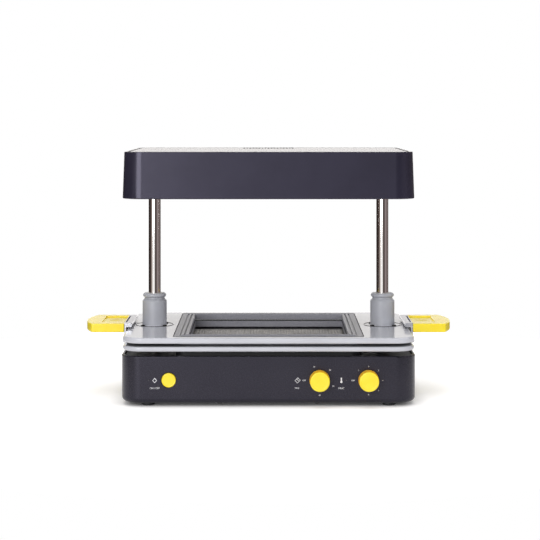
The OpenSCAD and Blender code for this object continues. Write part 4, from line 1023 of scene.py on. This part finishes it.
def make_markings():
    """All the print on the front: plain symbols, labels and the two dials' scales."""
    sheet = bmesh.new()
    bulb = circle_points(0, HEAT_MARK_BULB_Z, HEAT_MARK_BULB_R)
    print_on_panel(sheet, flat_ring(*SWITCH_MARK), SWITCH_MARK_X, PRINT_Z)
    print_on_panel(sheet, flat_ring(*TIMER_MARK), TIMER_MARK_X, CONTROL_Z - 0.1)
    print_on_panel(sheet, flat_shape(TIMER_MARK_BAR), TIMER_MARK_X, CONTROL_Z - 0.1)
    print_on_panel(sheet, flat_shape(HEAT_MARK_TUBE), HEAT_MARK_X, CONTROL_Z)
    print_on_panel(sheet, flat_shape(bulb), HEAT_MARK_X, CONTROL_Z)
    print_on_panel(sheet, letters("ON / OFF", 2.05), SWITCH_MARK_X, LABEL_Z)
    print_on_panel(sheet, letters("TIME", 1.9), TIMER_MARK_X - 0.9, LABEL_Z)
    print_on_panel(sheet, letters("HEAT", 2.1), HEAT_MARK_X, LABEL_Z)
    print_dial(sheet, TIMER_X, ["10", "20", "30", "40"], step=67.5, radius_mm=18.0)
    print_dial(sheet, HEATER_X, ["1", "2", "3", "4", "5", "6"], step=45, radius_mm=17.2)
    link_piece("panel_print", sheet, ["ink"], "base_shell")


make_markings()


# Stage, light and camera

def seen_rays(tree):
    """One for rays that see the surroundings as the camera does: straight, mirrored or through glass."""
    rays = add(tree, "ShaderNodeLightPath")
    mirrored = add(tree, "ShaderNodeMath", {"operation": "MAXIMUM"},
                   links={0: rays.outputs["Is Camera Ray"], 1: rays.outputs["Is Glossy Ray"]})
    return add(tree, "ShaderNodeMath", {"operation": "MAXIMUM"},
               links={0: mirrored.outputs[0], 1: rays.outputs["Is Transmission Ray"]}).outputs[0]


def white_sweep_material():
    """Seamless white paper: it shows white to the camera and in reflections, and keeps the contact shadow."""
    material = bpy.data.materials.new("white paper sweep")
    material.use_nodes = True
    tree = material.node_tree
    tree.nodes.clear()
    fibres = grain(tree, 3, 4.0)
    tone = add(tree, "ShaderNodeMapRange", inputs={"To Min": 0.54, "To Max": 0.56},
               links={"Value": fibres.outputs["Fac"]})
    corner = add(tree, "ShaderNodeAmbientOcclusion", {"samples": 16}, {"Distance": 22 * MM})
    open_glow = add(tree, "ShaderNodeMath", {"operation": "MULTIPLY"},
                    links={0: corner.outputs["AO"], 1: tone.outputs["Result"]})
    glow = add(tree, "ShaderNodeMath", {"operation": "MULTIPLY"},
               links={0: seen_rays(tree), 1: open_glow.outputs[0]})
    paper = add(tree, "ShaderNodeBsdfDiffuse", inputs={"Color": srgb("#EDEBEA")})
    light = add(tree, "ShaderNodeEmission", links={"Strength": glow.outputs[0]})
    both = add(tree, "ShaderNodeAddShader", links={0: paper.outputs[0], 1: light.outputs[0]})
    add(tree, "ShaderNodeOutputMaterial", links={"Surface": both.outputs[0]})
    return material


FLOOR_R = 620 * MM


def make_floor():
    """A round paper floor at z = 0."""
    mesh = bmesh.new()
    bmesh.ops.create_circle(mesh, cap_ends=True, segments=96, radius=FLOOR_R)
    data = bpy.data.meshes.new("floor")
    mesh.to_mesh(data)
    mesh.free()
    floor = bpy.data.objects.new("floor", data)
    bpy.context.scene.collection.objects.link(floor)
    data.materials.append(white_sweep_material())


# The studio's boards and walls, which polished tubes mirror: degrees round from the camera's side, with
# plus to the right, and the grey hung there
STUDIO_BANDS = [
    (-180, "#2E2422"), (-84, "#302724"), (-72, "#5A4E49"), (-55, "#938883"), (-36, "#E8E4DF"),
    (-26, "#FFFFFF"), (-2, "#FFFFFF"), (8, "#8A8480"), (18, "#3A302D"), (27, "#463C3A"),
    (43, "#726766"), (64, "#9C9191"), (89, "#6C6160"), (122, "#786C6A"), (180, "#857A76"),
]


def make_world():
    """Plain studio: white to the camera, a soft fill, and flags and white boards where surfaces mirror it."""
    world = bpy.data.worlds.new("studio")
    bpy.context.scene.world = world
    world.use_nodes = True
    tree = world.node_tree
    tree.nodes.clear()
    rays = add(tree, "ShaderNodeLightPath")
    place = add(tree, "ShaderNodeTexCoord")
    axes = add(tree, "ShaderNodeSeparateXYZ", links={"Vector": place.outputs["Generated"]})
    forward = add(tree, "ShaderNodeMath", {"operation": "MULTIPLY"}, {1: -1}, {0: axes.outputs["Y"]})
    turn = add(tree, "ShaderNodeMath", {"operation": "ARCTAN2"},
               links={0: axes.outputs["X"], 1: forward.outputs[0]})
    share = add(tree, "ShaderNodeMapRange", inputs={"From Min": -math.pi, "From Max": math.pi},
                links={"Value": turn.outputs[0]})
    bands = add(tree, "ShaderNodeValToRGB", links={"Fac": share.outputs["Result"]})
    stops = bands.color_ramp.elements
    stops[1].position = 1.0
    stops[1].color = srgb(STUDIO_BANDS[0][1])
    stops[0].color = srgb(STUDIO_BANDS[0][1])
    for angle, tone in STUDIO_BANDS[1:]:
        stops.new((angle + 180) / 360).color = srgb(tone)
    above = add(tree, "ShaderNodeMapRange", {"interpolation_type": "SMOOTHSTEP"},
                {"From Min": 0.45, "From Max": 0.85}, {"Value": axes.outputs["Z"]})
    ceiling = add(tree, "ShaderNodeMix", {"data_type": "RGBA"}, {"B": srgb("#D8D8DC")},
                  {"Factor": above.outputs["Result"], "A": bands.outputs["Color"]})
    board = add(tree, "ShaderNodeBackground", links={"Color": ceiling.outputs["Result"]})
    height = add(tree, "ShaderNodeMapRange", {"interpolation_type": "SMOOTHSTEP"},
                 {"From Min": 0.02, "From Max": 0.11, "To Min": 3.9, "To Max": 1.3},
                 {"Value": axes.outputs["Z"]})
    backdrop = add(tree, "ShaderNodeBackground", inputs={"Color": srgb("#E8E5E2")},
                   links={"Strength": height.outputs["Result"]})
    upward = add(tree, "ShaderNodeMapRange", inputs={"From Min": -0.01, "From Max": 0.02},
                 links={"Value": axes.outputs["Z"]})
    behind = add(tree, "ShaderNodeMapRange", {"interpolation_type": "SMOOTHSTEP"},
                 {"From Min": 0.8, "From Max": 0.95},
                 {"Value": axes.outputs["Y"], "To Max": upward.outputs["Result"]})
    mirrored = add(tree, "ShaderNodeMixShader", links={0: behind.outputs["Result"], 1: board.outputs[0],
                                                       2: backdrop.outputs[0]})
    fill = add(tree, "ShaderNodeBackground", inputs={"Color": srgb("#F4F4F6"), "Strength": 0.32})
    white = add(tree, "ShaderNodeBackground", inputs={"Color": (1, 1, 1, 1), "Strength": 1.0})
    soft = add(tree, "ShaderNodeMixShader", links={0: rays.outputs["Is Glossy Ray"], 1: fill.outputs[0],
                                                   2: mirrored.outputs[0]})
    straight = add(tree, "ShaderNodeMath", {"operation": "MAXIMUM"},
                   links={0: rays.outputs["Is Camera Ray"], 1: rays.outputs["Is Transmission Ray"]})
    pick = add(tree, "ShaderNodeMixShader", links={0: straight.outputs[0], 1: soft.outputs[0],
                                                   2: white.outputs[0]})
    add(tree, "ShaderNodeOutputWorld", links={"Surface": pick.outputs[0]})


def softbox(name, place, aim, size, power, mirrored=True):
    """A rectangular softbox at place, facing aim."""
    light = bpy.data.lights.new(name, "AREA")
    light.shape = "RECTANGLE"
    light.size = size[0]
    light.size_y = size[1]
    light.energy = power
    lamp = bpy.data.objects.new(name, light)
    lamp.location = place
    lamp.rotation_euler = (Vector(aim) - Vector(place)).to_track_quat("-Z", "Y").to_euler()
    lamp.visible_glossy = mirrored
    bpy.context.scene.collection.objects.link(lamp)


def make_lights():
    """A tall softbox front left, a large overhead one and a weak fill from the right."""
    softbox("front left softbox", (-1.6, -3.97, 1.15), (0, 0, 0.15), (2.1, 2.6), 110)
    softbox("overhead softbox", (-0.1, 0.2, 2.2), (0, 0, 0), (2.2, 1.8), 26, mirrored=False)
    softbox("right fill", (2.2, -1.2, 0.9), (0, 0, 0.1), (1.2, 1.4), 17, mirrored=False)


# The camera's place comes from the photograph's perspective
CAMERA_LENS = 109.2
SENSOR_WIDTH = 36
CAMERA_HEIGHT = 360 * MM
CAMERA_FROM_FRONT = 2000 * MM
PHOTO_SIZE = 540
VANISHING_X = 268.5
HORIZON_Y = 112.0


def make_camera():
    """A level camera whose frame is shifted down, as the photograph's is."""
    shot = bpy.data.cameras.new("camera")
    shot.lens = CAMERA_LENS
    shot.sensor_width = SENSOR_WIDTH
    shot.shift_x = (PHOTO_SIZE / 2 - VANISHING_X) / PHOTO_SIZE
    shot.shift_y = (HORIZON_Y - PHOTO_SIZE / 2) / PHOTO_SIZE
    camera = bpy.data.objects.new("camera", shot)
    camera.location = (0, FRONT - CAMERA_FROM_FRONT, CAMERA_HEIGHT)
    camera.rotation_euler = (math.radians(90), 0, 0)
    bpy.context.scene.collection.objects.link(camera)
    bpy.context.scene.camera = camera


make_floor()
make_world()
make_lights()
make_camera()
bpy.context.scene.view_settings.view_transform = "Standard"
